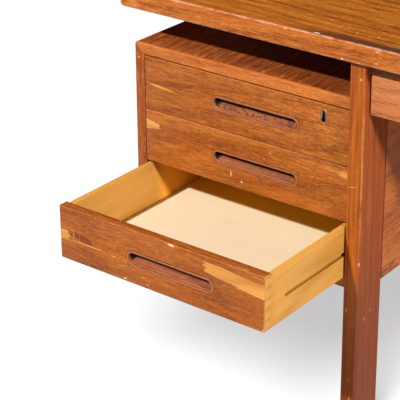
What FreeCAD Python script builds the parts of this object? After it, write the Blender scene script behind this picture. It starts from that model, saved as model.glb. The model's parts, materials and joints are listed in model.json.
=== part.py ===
import FreeCAD, Part
import math
import os
import re
import Sketcher

# Executive desk in teak, millimetres, +Z up.
# X runs along the desk, the user sits on the -Y side, the floor is Z = 0.
# Two pedestals of three side-hung drawers hang from plank legs on the kneehole
# side, a shallow drawer lies between them, and the desktop floats above.
# The lowest drawer on the left is modelled pulled open by "opening".

driving_sizes = {
    "desk_width": 1600,
    "desk_depth": 760,
    "desk_height": 725,
    "desktop_thickness": 34,
    "desktop_corner": 18,
    "desktop_arris": 2,
    "lipping_width": 18,
    "front_overhang": 20,
    "side_overhang": 22,
    "shadow_gap": 67.5,
    "board": 21,
    "board_corner": 5,
    "board_arris": 2,
    "back_board": 8,
    "back_inset": 6,
    "reveal": 1.5,
    "leg_width": 30,
    "leg_depth": 72,
    "leg_proud": 7,
    "leg_arris": 2,
    "glide_width": 20,
    "glide_length": 44,
    "glide_height": 5,
    "rail_height": 21,
    "rail_depth": 60,
    "rail_arris": 1.5,
    "modesty_thickness": 18,
    "modesty_inset": 12,
    "front_width": 425,
    "front_height": 98,
    "front_thickness": 18,
    "front_arris": 0.8,
    "drawer_length": 600,
    "opening": 231,
    "side_thickness": 10,
    "side_drop": 4.5,
    "back_thickness": 10,
    "tail_length": 15.5,
    "bottom_thickness": 5,
    "bottom_rise": 8,
    "bottom_groove": 5,
    "bottom_play": 0.2,
    "slot_height": 8,
    "slot_depth": 6,
    "slot_start": 57,
    "runner_play": 0.3,
    "runner_end_play": 0.5,
    "centre_gap": 2.5,
    "centre_height": 66,
    "centre_length": 460,
    "centre_setback": 5,
    "pull_length": 181,
    "pull_height": 28,
    "pull_offset": 24.5,
    "pull_drop": 2,
    "pull_seat": 14,
    "pull_proud": 1,
    "pull_play": 0.1,
    "pull_rim": 4,
    "pull_lip": 3.2,
    "pull_recess": 11,
    "pull_cove": 6,
    "pull_undercut": 2,
    "key_inset": 50,
    "key_drop": 20.5,
    "liner_width": 10.5,
    "liner_height": 22,
    "liner_wall": 1.6,
    "liner_proud": 0.4,
    "liner_play": 0.1,
    "key_radius": 3.4,
    "key_slot": 3.8,
    "key_flare": 6,
    "key_depth": 3,
    "lock_width": 44,
    "lock_height": 36,
    "lock_depth": 12,
    "bolt_width": 16,
    "bolt_thickness": 5,
    "bolt_height": 24,
    "bolt_play": 0.2,
    "bolt_seat": 4,
    "bolt_travel": 7,
    "strike_thickness": 1.5,
    "strike_margin": 6,
    "screw_radius": 2,
    "screw_head": 4.2,
    "screw_head_height": 3,
    "screw_bite": 15,
    "screw_play": 0.2,
}

# Numbers of repeated pieces.
counts = {
    "drawer_rows": 3,
    "drawer_tails": 5,
    "centre_tails": 3,
}

# Ratios that carry no length.
shares = {
    "tail_root_share": 0.64,
    "tail_tip_share": 0.84,
    "slot_level_share": 0.46,
    "screw_spread_share": 0.7,
}

# Sizes that follow from the ones above.
derived_sizes = {
    "underside": "desk_height - desktop_thickness",
    "carcass_top": "underside - shadow_gap",
    "pitch": "front_height + reveal",
    "carcass_bottom": "carcass_top - 2 * board - drawer_rows * pitch - reveal",
    "carcass_height": "carcass_top - carcass_bottom",
    "lowest_drawer": "carcass_bottom + board + reveal",
    "carcass_depth": "desk_depth - 2 * front_overhang",
    "front_plane": "(opening + pull_proud - desk_depth + front_overhang) / 2",
    "back_plane": "front_plane + carcass_depth",
    "desktop_middle": "front_plane - front_overhang + desk_depth / 2",
    "outer_face": "desk_width / 2 - side_overhang",
    "opening_outer": "outer_face - board",
    "pedestal_middle": "opening_outer - reveal - front_width / 2",
    "wall_inner": "opening_outer - 2 * reveal - front_width",
    "kneehole_half": "wall_inner - leg_width",
    "leg_height": "underside - glide_height",
    "front_leg_back": "front_plane - leg_proud + leg_depth",
    "back_leg_front": "back_plane + leg_proud - leg_depth",
    "side_height": "front_height - side_drop",
    "centre_width": "2 * (kneehole_half - centre_gap)",
    "centre_top": "underside - rail_height - centre_gap",
    "centre_bottom": "centre_top - centre_height",
    "centre_side_height": "centre_height - side_drop",
    "centre_plane": "front_plane + centre_setback",
    "panel_foot": "carcass_bottom + board",
    "screw_length": "rail_height + screw_bite",
    "key_offset": "front_width / 2 - key_inset",
    "mortise_depth": "bolt_travel + bolt_play",
    "bolt_front": "front_thickness - lock_depth + bolt_seat + bolt_play",
}

doc = FreeCAD.newDocument("executive_desk")
sheet = doc.addObject("Spreadsheet::Sheet", "sizes")
slate = doc.addObject("Spreadsheet::Sheet", "slate")
slate_cell = "A1"
measuring_slack = 0.001


def fill_sheet():
    row = 1
    for table in (driving_sizes, counts, shares):
        for alias, number in table.items():
            sheet.set(f"A{row}", alias)
            sheet.set(f"B{row}", str(number))
            sheet.setAlias(f"B{row}", alias)
            row += 1
    for alias, formula in derived_sizes.items():
        sheet.set(f"A{row}", alias)
        sheet.set(f"B{row}", "=" + formula)
        sheet.setAlias(f"B{row}", alias)
        row += 1
    doc.recompute()


fill_sheet()
aliases = sorted([*driving_sizes, *counts, *shares, *derived_sizes], key=len, reverse=True)
alias_pattern = re.compile(r"\b(" + "|".join(aliases) + r")\b")
known_numbers = {}


# A formula names sheet cells by alias. It is worked out once on a slate for where a
# sketch's lines are first drawn, and then bound to the object as a live link.
def linked(formula):
    return alias_pattern.sub(r"sizes.\1", formula)


def number_of(formula):
    if formula not in known_numbers:
        slate.set(slate_cell, "=" + linked(formula))
        slate.recompute()
        known_numbers[formula] = float(slate.get(slate_cell))
    return known_numbers[formula]


def bind(thing, prop, formula):
    thing.setExpression(prop, linked(formula))


def place(thing, x="0", y="0", z="0"):
    bind(thing, "Placement.Base.x", x)
    bind(thing, "Placement.Base.y", y)
    bind(thing, "Placement.Base.z", z)


def new_body(label):
    body = doc.addObject("PartDesign::Body", label)
    body.Label = label
    return body


# A sketch on one of the body's own origin planes, lifted along that plane's normal.
# XZ_Plane faces -Y, so a lift there goes towards the user.
def new_sketch(body, role, lift="0"):
    sketch = body.newObject("Sketcher::SketchObject", "sketch")
    plane = next(part for part in body.Origin.OriginFeatures if part.Role == role)
    sketch.AttachmentSupport = [(plane, "")]
    sketch.MapMode = "FlatFace"
    bind(sketch, "AttachmentOffset.Base.z", lift)
    return sketch


def fix_point(sketch, piece, spot, axis, formula):
    kind = "Distance" + axis
    size = number_of(formula)
    index = sketch.addConstraint(Sketcher.Constraint(kind, -1, 1, piece, spot, size))
    bind(sketch, f"Constraints[{index}]", formula)


# A closed outline through corners given as (x, y) formulas. The stretch after a corner
# whose number is in arcs is an arc, bulging outwards, round the centre given there.
def outline(sketch, corners, arcs={}):
    spots = [FreeCAD.Vector(number_of(x), number_of(y), 0) for x, y in corners]
    count = len(spots)
    following = [(i + 1) % count for i in range(count)]
    area = sum(spots[i].x * spots[j].y - spots[j].x * spots[i].y for i, j in enumerate(following))
    first = sketch.GeometryCount
    begins = []
    ends = []
    for i, j in enumerate(following):
        if i not in arcs:
            sketch.addGeometry(Part.LineSegment(spots[i], spots[j]), False)
            begins.append(1)
            ends.append(2)
            continue
        centre = FreeCAD.Vector(number_of(arcs[i][0]), number_of(arcs[i][1]), 0)
        arm = spots[i] - centre
        other = spots[j] - centre
        circle = Part.Circle(centre, FreeCAD.Vector(0, 0, 1), arm.Length)
        angle = math.atan2(arm.y, arm.x)
        other_angle = math.atan2(other.y, other.x)
        turns_left = area > 0
        span = (angle, other_angle) if turns_left else (other_angle, angle)
        sketch.addGeometry(Part.ArcOfCircle(circle, *span), False)
        begins.append(1 if turns_left else 2)
        ends.append(2 if turns_left else 1)
    for i, j in enumerate(following):
        sketch.addConstraint(Sketcher.Constraint("Coincident", first + i, ends[i], first + j, begins[j]))
        fix_point(sketch, first + i, begins[i], "X", corners[i][0])
        fix_point(sketch, first + i, begins[i], "Y", corners[i][1])
        if i in arcs:
            chord = spots[j] - spots[i]
            upright = abs(chord.y) > abs(chord.x)
            fix_point(sketch, first + i, 3, "X" if upright else "Y", arcs[i][0 if upright else 1])
    return sketch


def rectangle(sketch, left, low, right, high):
    return outline(sketch, [(left, low), (right, low), (right, high), (left, high)])


# An oblong with round ends, lying along x or standing along y.
def oblong(sketch, x, y, length, height, standing=False):
    reach = f"(({length}) - ({height})) / 2"
    half = f"({height}) / 2"
    if standing:
        corners = [
            (f"{x} + {half}", f"{y} - {reach}"),
            (f"{x} + {half}", f"{y} + {reach}"),
            (f"{x} - {half}", f"{y} + {reach}"),
            (f"{x} - {half}", f"{y} - {reach}"),
        ]
        arcs = {1: (x, f"{y} + {reach}"), 3: (x, f"{y} - {reach}")}
    else:
        corners = [
            (f"{x} - {reach}", f"{y} - {half}"),
            (f"{x} + {reach}", f"{y} - {half}"),
            (f"{x} + {reach}", f"{y} + {half}"),
            (f"{x} - {reach}", f"{y} + {half}"),
        ]
        arcs = {1: (f"{x} + {reach}", y), 3: (f"{x} - {reach}", y)}
    return outline(sketch, corners, arcs)


def round_hole(sketch, x, y, radius):
    centre = FreeCAD.Vector(number_of(x), number_of(y), 0)
    size = number_of(radius)
    piece = sketch.addGeometry(Part.Circle(centre, FreeCAD.Vector(0, 0, 1), size), False)
    fix_point(sketch, piece, 3, "X", x)
    fix_point(sketch, piece, 3, "Y", y)
    index = sketch.addConstraint(Sketcher.Constraint("Radius", piece, size))
    bind(sketch, f"Constraints[{index}]", radius)


def extrude(body, kind, sketch, length, backwards):
    feature = body.newObject("PartDesign::" + kind, kind.lower())
    feature.Profile = sketch
    feature.Reversed = backwards
    bind(feature, "Length", length)
    body.Tip = feature
    doc.recompute()
    return feature


def pad(body, sketch, length, backwards=False):
    return extrude(body, "Pad", sketch, length, backwards)


# A pocket cuts against its sketch's normal, or along it when backwards.
def pocket(body, sketch, depth, backwards=False):
    before = body.Tip.Shape.Volume
    feature = extrude(body, "Pocket", sketch, depth, backwards)
    if feature.Shape.Volume >= before:
        raise ValueError(f"a pocket in {body.Label} cuts nothing")
    return feature


# Takes a narrow flat off each edge that is wanted.
def ease(body, wanted, size):
    base = body.Tip
    names = [f"Edge{i}" for i, edge in enumerate(base.Shape.Edges, start=1) if wanted(edge)]
    feature = body.newObject("PartDesign::Chamfer", "ease")
    feature.Base = (base, names)
    bind(feature, "Size", size)
    body.Tip = feature
    doc.recompute()
    return feature


def block(label, x, y, z, width, depth, height):
    solid = doc.addObject("Part::Box", label)
    solid.Label = label
    bind(solid, "Length", width)
    bind(solid, "Width", depth)
    bind(solid, "Height", height)
    place(solid, x, y, z)
    return solid


def group(label, pieces):
    compound = doc.addObject("Part::Compound", label)
    compound.Label = label
    compound.Links = pieces
    return compound


def near(a, b):
    return abs(a - b) < measuring_slack


# Edge tests on the middle, the ends and the direction of an edge.
def edge_runs(edge, axis):
    box = edge.BoundBox
    spans = {"X": box.XLength, "Y": box.YLength, "Z": box.ZLength}
    rest = [span for name, span in spans.items() if name != axis]
    return spans[axis] > 0 and all(near(span, 0) for span in rest)


def edge_lies(edge, axis, level):
    box = edge.BoundBox
    low, high = {"X": (box.XMin, box.XMax), "Y": (box.YMin, box.YMax), "Z": (box.ZMin, box.ZMax)}[axis]
    return near(low, level) and near(high, level)


finished = []


def finish(piece):
    finished.append(piece)
    return piece


# Desktop: a veneered core inside four mitred strips of solid lipping with rounded
# corners. Its underside takes the screws that come up through the two rails.
screw_places = [
    (f"{side} * kneehole_half * screw_spread_share", row)
    for side in (-1, 1)
    for row in ("front_rail_middle", "back_rail_middle")
]
rail_middles = {
    "front_rail_middle": "(centre_plane + rail_depth / 2)",
    "back_rail_middle": "(back_plane - modesty_inset - modesty_thickness - rail_depth / 2)",
}


def desktop_core():
    body = new_body("desktop_core")
    half_width = "(desk_width / 2 - lipping_width)"
    half_depth = "(desk_depth / 2 - lipping_width)"
    pad(body, rectangle(new_sketch(body, "XY_Plane"), f"-{half_width}", f"-{half_depth}",
                        half_width, half_depth), "desktop_thickness")
    holes = new_sketch(body, "XY_Plane")
    for x, row in screw_places:
        round_hole(holes, x, f"{rail_middles[row]} - desktop_middle", "screw_radius")
    pocket(body, holes, "screw_bite", backwards=True)
    place(body, "0", "desktop_middle", "underside")
    return body


def lipping_strip(name, along_x, sign):
    body = new_body(name)
    length = "desk_width / 2" if along_x else "desk_depth / 2"
    cross = "desk_depth / 2" if along_x else "desk_width / 2"
    tip = "desktop_corner * (1 - sqrt(1 / 2))"
    path = [
        (f"-({length}) + lipping_width", f"({cross}) - lipping_width"),
        (f"-({length}) + {tip}", f"({cross}) - {tip}"),
        (f"-({length}) + desktop_corner", f"{cross}"),
        (f"({length}) - desktop_corner", f"{cross}"),
        (f"({length}) - {tip}", f"({cross}) - {tip}"),
        (f"({length}) - lipping_width", f"({cross}) - lipping_width"),
    ]
    round_ends = {
        1: (f"-({length}) + desktop_corner", f"({cross}) - desktop_corner"),
        3: (f"({length}) - desktop_corner", f"({cross}) - desktop_corner"),
    }

    def turned(point):
        long_part, cross_part = point[0], f"{sign} * ({point[1]})"
        return (long_part, cross_part) if along_x else (cross_part, long_part)

    sketch = new_sketch(body, "XY_Plane")
    outline(sketch, [turned(p) for p in path], {i: turned(p) for i, p in round_ends.items()})
    pad(body, sketch, "desktop_thickness")
    thickness = number_of("desktop_thickness")
    inner = number_of(f"({cross}) - lipping_width")
    tip_reach = number_of(f"({cross}) - {tip}")

    def outer_arris(edge):
        box = edge.BoundBox
        ends = (box.YMin, box.YMax) if along_x else (box.XMin, box.XMax)
        level = edge_lies(edge, "Z", 0) or edge_lies(edge, "Z", thickness)
        return level and min(sign * ends[0], sign * ends[1]) > (inner + tip_reach) / 2

    ease(body, outer_arris, "desktop_arris")
    place(body, "0", "desktop_middle", "underside")
    return body


def desktop():
    finish(desktop_core())
    strips = [
        lipping_strip("lipping_front", True, -1),
        lipping_strip("lipping_back", True, 1),
        lipping_strip("lipping_left", False, -1),
        lipping_strip("lipping_right", False, 1),
    ]
    finish(group("desktop_lipping", strips))


# Plank legs on the kneehole side of each pedestal, with a glide under each.
def leg(label, side, y):
    body = new_body(label)
    pad(body, rectangle(new_sketch(body, "XY_Plane"), "-leg_width / 2", "0", "leg_width / 2", "leg_depth"),
        "leg_height")
    ease(body, lambda edge: edge_runs(edge, "Z"), "leg_arris")
    place(body, f"{side} * (kneehole_half + leg_width / 2)", y, "glide_height")
    return body


def glide(label, side, y):
    return block(label, f"{side} * (kneehole_half + leg_width / 2) - glide_width / 2",
                 f"{y} + (leg_depth - glide_length) / 2", "0", "glide_width", "glide_length",
                 "glide_height")


def legs():
    glides = []
    for side, word in ((-1, "left"), (1, "right")):
        for end, y in (("front", "front_plane - leg_proud"), ("back", "back_leg_front")):
            finish(leg(f"leg_{end}_{word}", side, y))
            glides.append(glide(f"glide_{end}_{word}", side, y))
    finish(group("leg_glides", glides))


# Flat rails between the legs, screwed up into the desktop, and the modesty panel.
def rail(label, middle):
    body = new_body(label)
    half = "kneehole_half"
    pad(body, rectangle(new_sketch(body, "XY_Plane"), f"-{half}", "-rail_depth / 2", half, "rail_depth / 2"),
        "rail_height")
    ease(body, lambda edge: edge_runs(edge, "X") and edge_lies(edge, "Z", 0), "rail_arris")
    shanks = new_sketch(body, "XY_Plane")
    for x in sorted({x for x, row in screw_places}):
        round_hole(shanks, x, "0", "screw_radius + screw_play")
    pocket(body, shanks, "rail_height", backwards=True)
    place(body, "0", middle, "underside - rail_height")
    return body


def screw(label, x, y):
    body = new_body(label)
    head = new_sketch(body, "XY_Plane")
    level = "screw_head * sqrt(3) / 2"
    outline(head, [
        ("screw_head", "0"),
        ("screw_head / 2", level),
        ("-screw_head / 2", level),
        ("-screw_head", "0"),
        ("-screw_head / 2", f"-{level}"),
        ("screw_head / 2", f"-{level}"),
    ])
    pad(body, head, "screw_head_height")
    shank = new_sketch(body, "XY_Plane")
    round_hole(shank, "0", "0", "screw_radius")
    pad(body, shank, "screw_head_height + screw_length")
    place(body, x, y, "underside - rail_height - screw_head_height")
    return body


def middle_frame():
    for label, row in (("front_rail", "front_rail_middle"), ("back_rail", "back_rail_middle")):
        finish(rail(label, rail_middles[row]))
    screws = [
        screw(f"desktop_screw_{i}", x, rail_middles[row])
        for i, (x, row) in enumerate(screw_places)
    ]
    finish(group("desktop_screws", screws))
    finish(block("modesty_panel", "-kneehole_half", "back_plane - modesty_inset - modesty_thickness",
                 "carcass_bottom", "2 * kneehole_half", "modesty_thickness",
                 "underside - carcass_bottom"))


# Pedestal carcass: top, side and bottom boards mitred at the outer corners, which are
# rounded, with the bottom passing under the kneehole wall and notched round the legs.
def mitred_board(label, side, path, corner_centre):
    body = new_body(label)
    sketch = new_sketch(body, "XZ_Plane")
    outline(sketch, [(f"{side} * ({x})", z) for x, z in path],
            {i: (f"{side} * ({x})", z) for i, (x, z) in corner_centre.items()})
    pad(body, sketch, "carcass_depth", backwards=True)
    place(body, "0", "front_plane", "carcass_bottom")
    return body


corner_tip = "board_corner * (1 - sqrt(1 / 2))"


# The front edges of a carcass board are eased, but not where it meets its neighbours.
def ease_front(body):
    def shows(edge):
        box = edge.BoundBox
        straight = near(box.XLength, 0) or near(box.ZLength, 0)
        return straight and edge_lies(edge, "Y", 0) and edge.Length > 2 * number_of("board")

    ease(body, shows, "board_arris")


def carcass_top(side, word):
    path = [
        ("wall_inner", "carcass_height - board"),
        ("wall_inner", "carcass_height"),
        ("outer_face - board_corner", "carcass_height"),
        (f"outer_face - {corner_tip}", f"carcass_height - {corner_tip}"),
        ("opening_outer", "carcass_height - board"),
    ]
    centre = {2: ("outer_face - board_corner", "carcass_height - board_corner")}
    body = mitred_board(f"carcass_top_{word}", side, path, centre)
    ease_front(body)
    plate = new_sketch(body, "XY_Plane", "carcass_height - board")
    mortise = new_sketch(body, "XY_Plane", "carcass_height - board")
    middle = f"{side} * (pedestal_middle - key_offset)"
    plate_half = "(bolt_width / 2 + strike_margin)"
    rectangle(plate, f"{middle} - {plate_half}", "bolt_front - strike_margin / 2",
              f"{middle} + {plate_half}", "bolt_front + bolt_thickness + strike_margin / 2")
    rectangle(mortise, f"{middle} - bolt_width / 2 - bolt_play", "bolt_front - bolt_play",
              f"{middle} + bolt_width / 2 + bolt_play", "bolt_front + bolt_thickness + bolt_play")
    pocket(body, plate, "strike_thickness", backwards=True)
    pocket(body, mortise, "mortise_depth", backwards=True)
    return body


def carcass_side(side, word):
    path = [
        ("opening_outer", "carcass_height - board"),
        (f"outer_face - {corner_tip}", f"carcass_height - {corner_tip}"),
        ("outer_face", "carcass_height - board_corner"),
        ("outer_face", "board_corner"),
        (f"outer_face - {corner_tip}", corner_tip),
        ("opening_outer", "board"),
    ]
    centre = {
        1: ("outer_face - board_corner", "carcass_height - board_corner"),
        3: ("outer_face - board_corner", "board_corner"),
    }
    body = mitred_board(f"outer_side_{word}", side, path, centre)
    ease_front(body)
    return body


def carcass_floor(side, word):
    path = [
        ("opening_outer", "board"),
        (f"outer_face - {corner_tip}", corner_tip),
        ("outer_face - board_corner", "0"),
        ("kneehole_half", "0"),
        ("kneehole_half", "board"),
    ]
    centre = {1: ("outer_face - board_corner", "board_corner")}
    body = mitred_board(f"carcass_bottom_{word}", side, path, centre)
    notches = new_sketch(body, "XY_Plane")
    inner, outer = (f"{side} * (kneehole_half - board)", f"{side} * wall_inner")
    rectangle(notches, inner, "-board", outer, "leg_depth - leg_proud")
    rectangle(notches, inner, "carcass_depth + leg_proud - leg_depth", outer, "carcass_depth + board")
    pocket(body, notches, "board", backwards=True)
    ease_front(body)
    return body


def carcass(side, word):
    finish(carcass_top(side, word))
    finish(carcass_side(side, word))
    finish(carcass_floor(side, word))
    low = "wall_inner" if side > 0 else "-opening_outer"
    finish(block(f"carcass_back_{word}", low, "back_plane - back_inset - back_board", "panel_foot",
                 "opening_outer - wall_inner", "back_board", "carcass_height - 2 * board"))
    low = "kneehole_half" if side > 0 else "-wall_inner"
    finish(block(f"inner_panel_{word}", low, "front_leg_back", "panel_foot",
                 "leg_width", "back_leg_front - front_leg_back", "underside - panel_foot"))


# Wooden runners, which the stopped slots of the drawer sides ride on.
def runner(label, x, z, gap, plane, length):
    begin = "(slot_start + runner_end_play)"
    return block(label, x, f"{plane} + {begin}", f"{z} - slot_height / 2 + runner_play",
                 f"{gap} + slot_depth - runner_end_play", f"{length} - {begin}",
                 "slot_height - 2 * runner_play")


def pedestal_runners(side, word):
    bars = []
    for level in range(counts["drawer_rows"]):
        z = f"lowest_drawer + {level} * pitch + side_height * slot_level_share"
        reach = "(reveal + slot_depth - runner_end_play)"
        left = ("-opening_outer", "wall_inner")[side > 0]
        right = (f"-wall_inner - {reach}", f"opening_outer - {reach}")[side > 0]
        for end, x in (("left", left), ("right", right)):
            bars.append(runner(f"runner_{word}_{level}_{end}", x, z, "reveal", "front_plane",
                               "drawer_length"))
    finish(group(f"drawer_runners_{word}", bars))


def centre_guides():
    reach = "(centre_gap + slot_depth - runner_end_play)"
    z = "centre_bottom + centre_side_height * slot_level_share"
    bars = [
        runner("guide_left", "-kneehole_half", z, "centre_gap", "centre_plane", "centre_length"),
        runner("guide_right", f"kneehole_half - {reach}", z, "centre_gap", "centre_plane",
               "centre_length"),
    ]
    finish(group("centre_drawer_guides", bars))


# Half-blind dovetails: tails on the ends of the drawer sides, sockets in the front.
def tail_levels(side_height, tails):
    step = f"({side_height}) / {tails}"
    for k in range(tails):
        middle = f"{step} * ({k} + 1 / 2)"
        root = f"{step} * tail_root_share / 2"
        tip = f"{step} * tail_tip_share / 2"
        yield middle, root, tip


def tail_corners(middle, root, tip):
    shoulder = "front_thickness"
    end = "front_thickness - tail_length"
    return [
        (shoulder, f"{middle} - {root}"),
        (end, f"{middle} - {tip}"),
        (end, f"{middle} + {tip}"),
        (shoulder, f"{middle} + {root}"),
    ]


def drawer_side(label, side, drawer):
    body = new_body(label)
    corners = [("front_thickness", "0")]
    for middle, root, tip in tail_levels(drawer["side_height"], drawer["tails"]):
        corners += tail_corners(middle, root, tip)
    corners += [
        ("front_thickness", drawer["side_height"]),
        (drawer["length"], drawer["side_height"]),
        (drawer["length"], "0"),
    ]
    pad(body, outline(new_sketch(body, "YZ_Plane"), corners), "side_thickness")
    inner_lift = "0" if side > 0 else "side_thickness - bottom_groove"
    groove = new_sketch(body, "YZ_Plane", inner_lift)
    rectangle(groove, "front_thickness - tail_length", "bottom_rise - bottom_play",
              drawer["length"], "bottom_rise + bottom_thickness + bottom_play")
    pocket(body, groove, "bottom_groove", backwards=True)
    outer_lift = "side_thickness - slot_depth" if side > 0 else "0"
    level = f"{drawer['side_height']} * slot_level_share"
    slot = new_sketch(body, "YZ_Plane", outer_lift)
    rectangle(slot, "slot_start", f"{level} - slot_height / 2", drawer["length"],
              f"{level} + slot_height / 2")
    pocket(body, slot, "slot_depth", backwards=True)
    edge_of_box = f"({drawer['width']}) / 2"
    near_x = f"{edge_of_box} - side_thickness" if side > 0 else f"-{edge_of_box}"
    place(body, f"{drawer['x']} + {near_x}", drawer["y"], drawer["z"])
    return body


def drawer_box(name, drawer):
    inner_width = f"({drawer['width']} - 2 * side_thickness)"
    seat = "bottom_rise + bottom_thickness + bottom_play"
    back = block(f"{name}_back", f"{drawer['x']} - {inner_width} / 2",
                 f"{drawer['y']} + {drawer['length']} - back_thickness - bottom_groove",
                 f"{drawer['z']} + {seat}", inner_width, "back_thickness",
                 f"{drawer['side_height']} - ({seat})")
    pieces = [
        drawer_side(f"{name}_side_left", -1, drawer),
        drawer_side(f"{name}_side_right", 1, drawer),
        back,
    ]
    finish(group(f"{name}_box", pieces))
    groove = "(bottom_groove - bottom_play)"
    finish(block(f"{name}_bottom", f"{drawer['x']} - {inner_width} / 2 - {groove}",
                 f"{drawer['y']} + front_thickness - {groove}", f"{drawer['z']} + bottom_rise",
                 f"{inner_width} + 2 * {groove}",
                 f"{drawer['length']} - front_thickness + {groove} - bottom_play", "bottom_thickness"))


def drawer_front(name, drawer):
    body = new_body(f"{name}_front")
    half = f"({drawer['width']} / 2)"
    face = new_sketch(body, "XZ_Plane")
    rectangle(face, f"-{half}", "0", half, drawer["height"])
    pad(body, face, "front_thickness", backwards=True)
    ease(body, lambda edge: edge_lies(edge, "Y", 0), "front_arris")
    seat = new_sketch(body, "XZ_Plane")
    oblong(seat, drawer["pull_x"], drawer["pull_z"], "pull_length", "pull_height")
    pocket(body, seat, "pull_seat")
    for lift in (f"{half} - side_thickness", f"-{half}"):
        sockets = new_sketch(body, "YZ_Plane", lift)
        for middle, root, tip in tail_levels(drawer["side_height"], drawer["tails"]):
            outline(sockets, tail_corners(middle, root, tip))
        pocket(body, sockets, "side_thickness", backwards=True)
    groove = new_sketch(body, "XZ_Plane", "bottom_groove - front_thickness")
    groove_half = f"({half} - side_thickness + bottom_groove)"
    rectangle(groove, f"-{groove_half}", "bottom_rise - bottom_play", groove_half,
              "bottom_rise + bottom_thickness + bottom_play")
    pocket(body, groove, "bottom_groove")
    if drawer["locks"]:
        mortise = new_sketch(body, "XZ_Plane", "lock_depth - front_thickness")
        rectangle(mortise, f"{drawer['key_x']} - lock_width / 2", "front_height - lock_height",
                  f"{drawer['key_x']} + lock_width / 2", "front_height")
        pocket(body, mortise, "lock_depth")
        hole = new_sketch(body, "XZ_Plane")
        oblong(hole, drawer["key_x"], "front_height - key_drop", "liner_height", "liner_width", True)
        pocket(body, hole, "front_thickness - lock_depth")
    place(body, drawer["x"], drawer["y"], drawer["z"])
    return body


# The carved finger pull: a separate oblong let into the front, with a proud rim, a
# hollow that slopes in to its floor, and a slot cut up behind the upper lip for the
# fingertips.
def finger_pull(name, drawer):
    body = new_body(f"{name}_pull")
    proud = "pull_proud"
    blank = new_sketch(body, "XZ_Plane", proud)
    oblong(blank, "0", "0", "pull_length - 2 * pull_play", "pull_height - 2 * pull_play")
    pad(body, blank, "pull_seat + pull_proud", backwards=True)
    hollow = new_sketch(body, "XZ_Plane", proud)
    oblong(hollow, "0", "0", "pull_length - 2 * pull_rim", "pull_height - 2 * pull_rim")
    pocket(body, hollow, "pull_recess + pull_proud")
    ease(body, lambda edge: edge_lies(edge, "Y", number_of("pull_recess")), "pull_cove")
    undercut = new_sketch(body, "XZ_Plane", "-pull_lip")
    half_length = "(pull_length - pull_height) / 2"
    rectangle(undercut, f"-{half_length}", "0", half_length, "pull_height / 2 - pull_rim + pull_undercut")
    pocket(body, undercut, "pull_recess - pull_lip")
    place(body, f"{drawer['x']} + {drawer['pull_x']}", drawer["y"],
          f"{drawer['z']} + {drawer['pull_z']}")
    return body


# Lock of a top drawer: the liner lines the keyhole, the case sits in the back of the
# front, and the bolt slides up out of it into the carcass top.
eye_level = "(liner_height / 2 - liner_wall - key_radius)"
keyhole_foot = "(liner_height / 2 - liner_wall)"


def keyhole_liner(name, drawer):
    body = new_body(f"{name}_keyhole_liner")
    sleeve = new_sketch(body, "XZ_Plane", "liner_proud")
    oblong(sleeve, "0", "0", "liner_height - 2 * liner_play", "liner_width - 2 * liner_play", True)
    depth = "front_thickness - lock_depth + liner_proud"
    pad(body, sleeve, depth, backwards=True)
    eye = new_sketch(body, "XZ_Plane", "liner_proud")
    round_hole(eye, "0", eye_level, "key_radius")
    pocket(body, eye, depth)
    slot = new_sketch(body, "XZ_Plane", "liner_proud")
    outline(slot, [
        ("-key_slot / 2", eye_level),
        ("-key_flare / 2", f"-{keyhole_foot}"),
        ("key_flare / 2", f"-{keyhole_foot}"),
        ("key_slot / 2", eye_level),
    ])
    pocket(body, slot, depth)
    place(body, f"{drawer['x']} + {drawer['key_x']}", drawer["y"],
          f"{drawer['z']} + front_height - key_drop")
    return body


def lock_case(name, drawer):
    body = new_body(f"{name}_lock_case")
    shell = new_sketch(body, "XZ_Plane")
    rectangle(shell, "-lock_width / 2", "key_drop - lock_height", "lock_width / 2", "key_drop")
    pad(body, shell, "lock_depth", backwards=True)
    keyway = new_sketch(body, "XZ_Plane")
    rectangle(keyway, "-key_slot / 2", f"-{keyhole_foot}", "key_slot / 2", eye_level)
    pocket(body, keyway, "key_depth")
    channel = new_sketch(body, "XZ_Plane", "-bolt_seat")
    rectangle(channel, "-bolt_width / 2 - bolt_play", "key_drop - bolt_height - bolt_play",
              "bolt_width / 2 + bolt_play", "key_drop")
    pocket(body, channel, "bolt_thickness + 2 * bolt_play")
    place(body, f"{drawer['x']} + {drawer['key_x']}", f"{drawer['y']} + front_thickness - lock_depth",
          f"{drawer['z']} + front_height - key_drop")
    return body


def lock_bolt(name, drawer):
    body = new_body(f"{name}_lock_bolt")
    plate = new_sketch(body, "XZ_Plane")
    rectangle(plate, "-bolt_width / 2", "-bolt_height", "bolt_width / 2", "0")
    pad(body, plate, "bolt_thickness", backwards=True)
    place(body, f"{drawer['x']} + {drawer['key_x']}", f"{drawer['y']} + bolt_front",
          f"{drawer['z']} + front_height")
    return body


def strike_plate(side, word):
    body = new_body(f"strike_{word}")
    plate_half = "(bolt_width / 2 + strike_margin)"
    plate = new_sketch(body, "XY_Plane")
    rectangle(plate, f"-{plate_half}", "-strike_margin / 2", plate_half,
              "bolt_thickness + strike_margin / 2")
    pad(body, plate, "strike_thickness")
    gate = new_sketch(body, "XY_Plane")
    rectangle(gate, "-bolt_width / 2 - bolt_play", "-bolt_play", "bolt_width / 2 + bolt_play",
              "bolt_thickness + bolt_play")
    pocket(body, gate, "strike_thickness", backwards=True)
    place(body, f"{side} * (pedestal_middle - key_offset)", "front_plane + bolt_front",
          "carcass_top - board")
    return body


def drawer_parts(name, drawer):
    finish(drawer_front(name, drawer))
    finish(finger_pull(name, drawer))
    drawer_box(name, drawer)
    if drawer["locks"]:
        finish(keyhole_liner(name, drawer))
        finish(lock_case(name, drawer))
        finish(lock_bolt(name, drawer))


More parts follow.
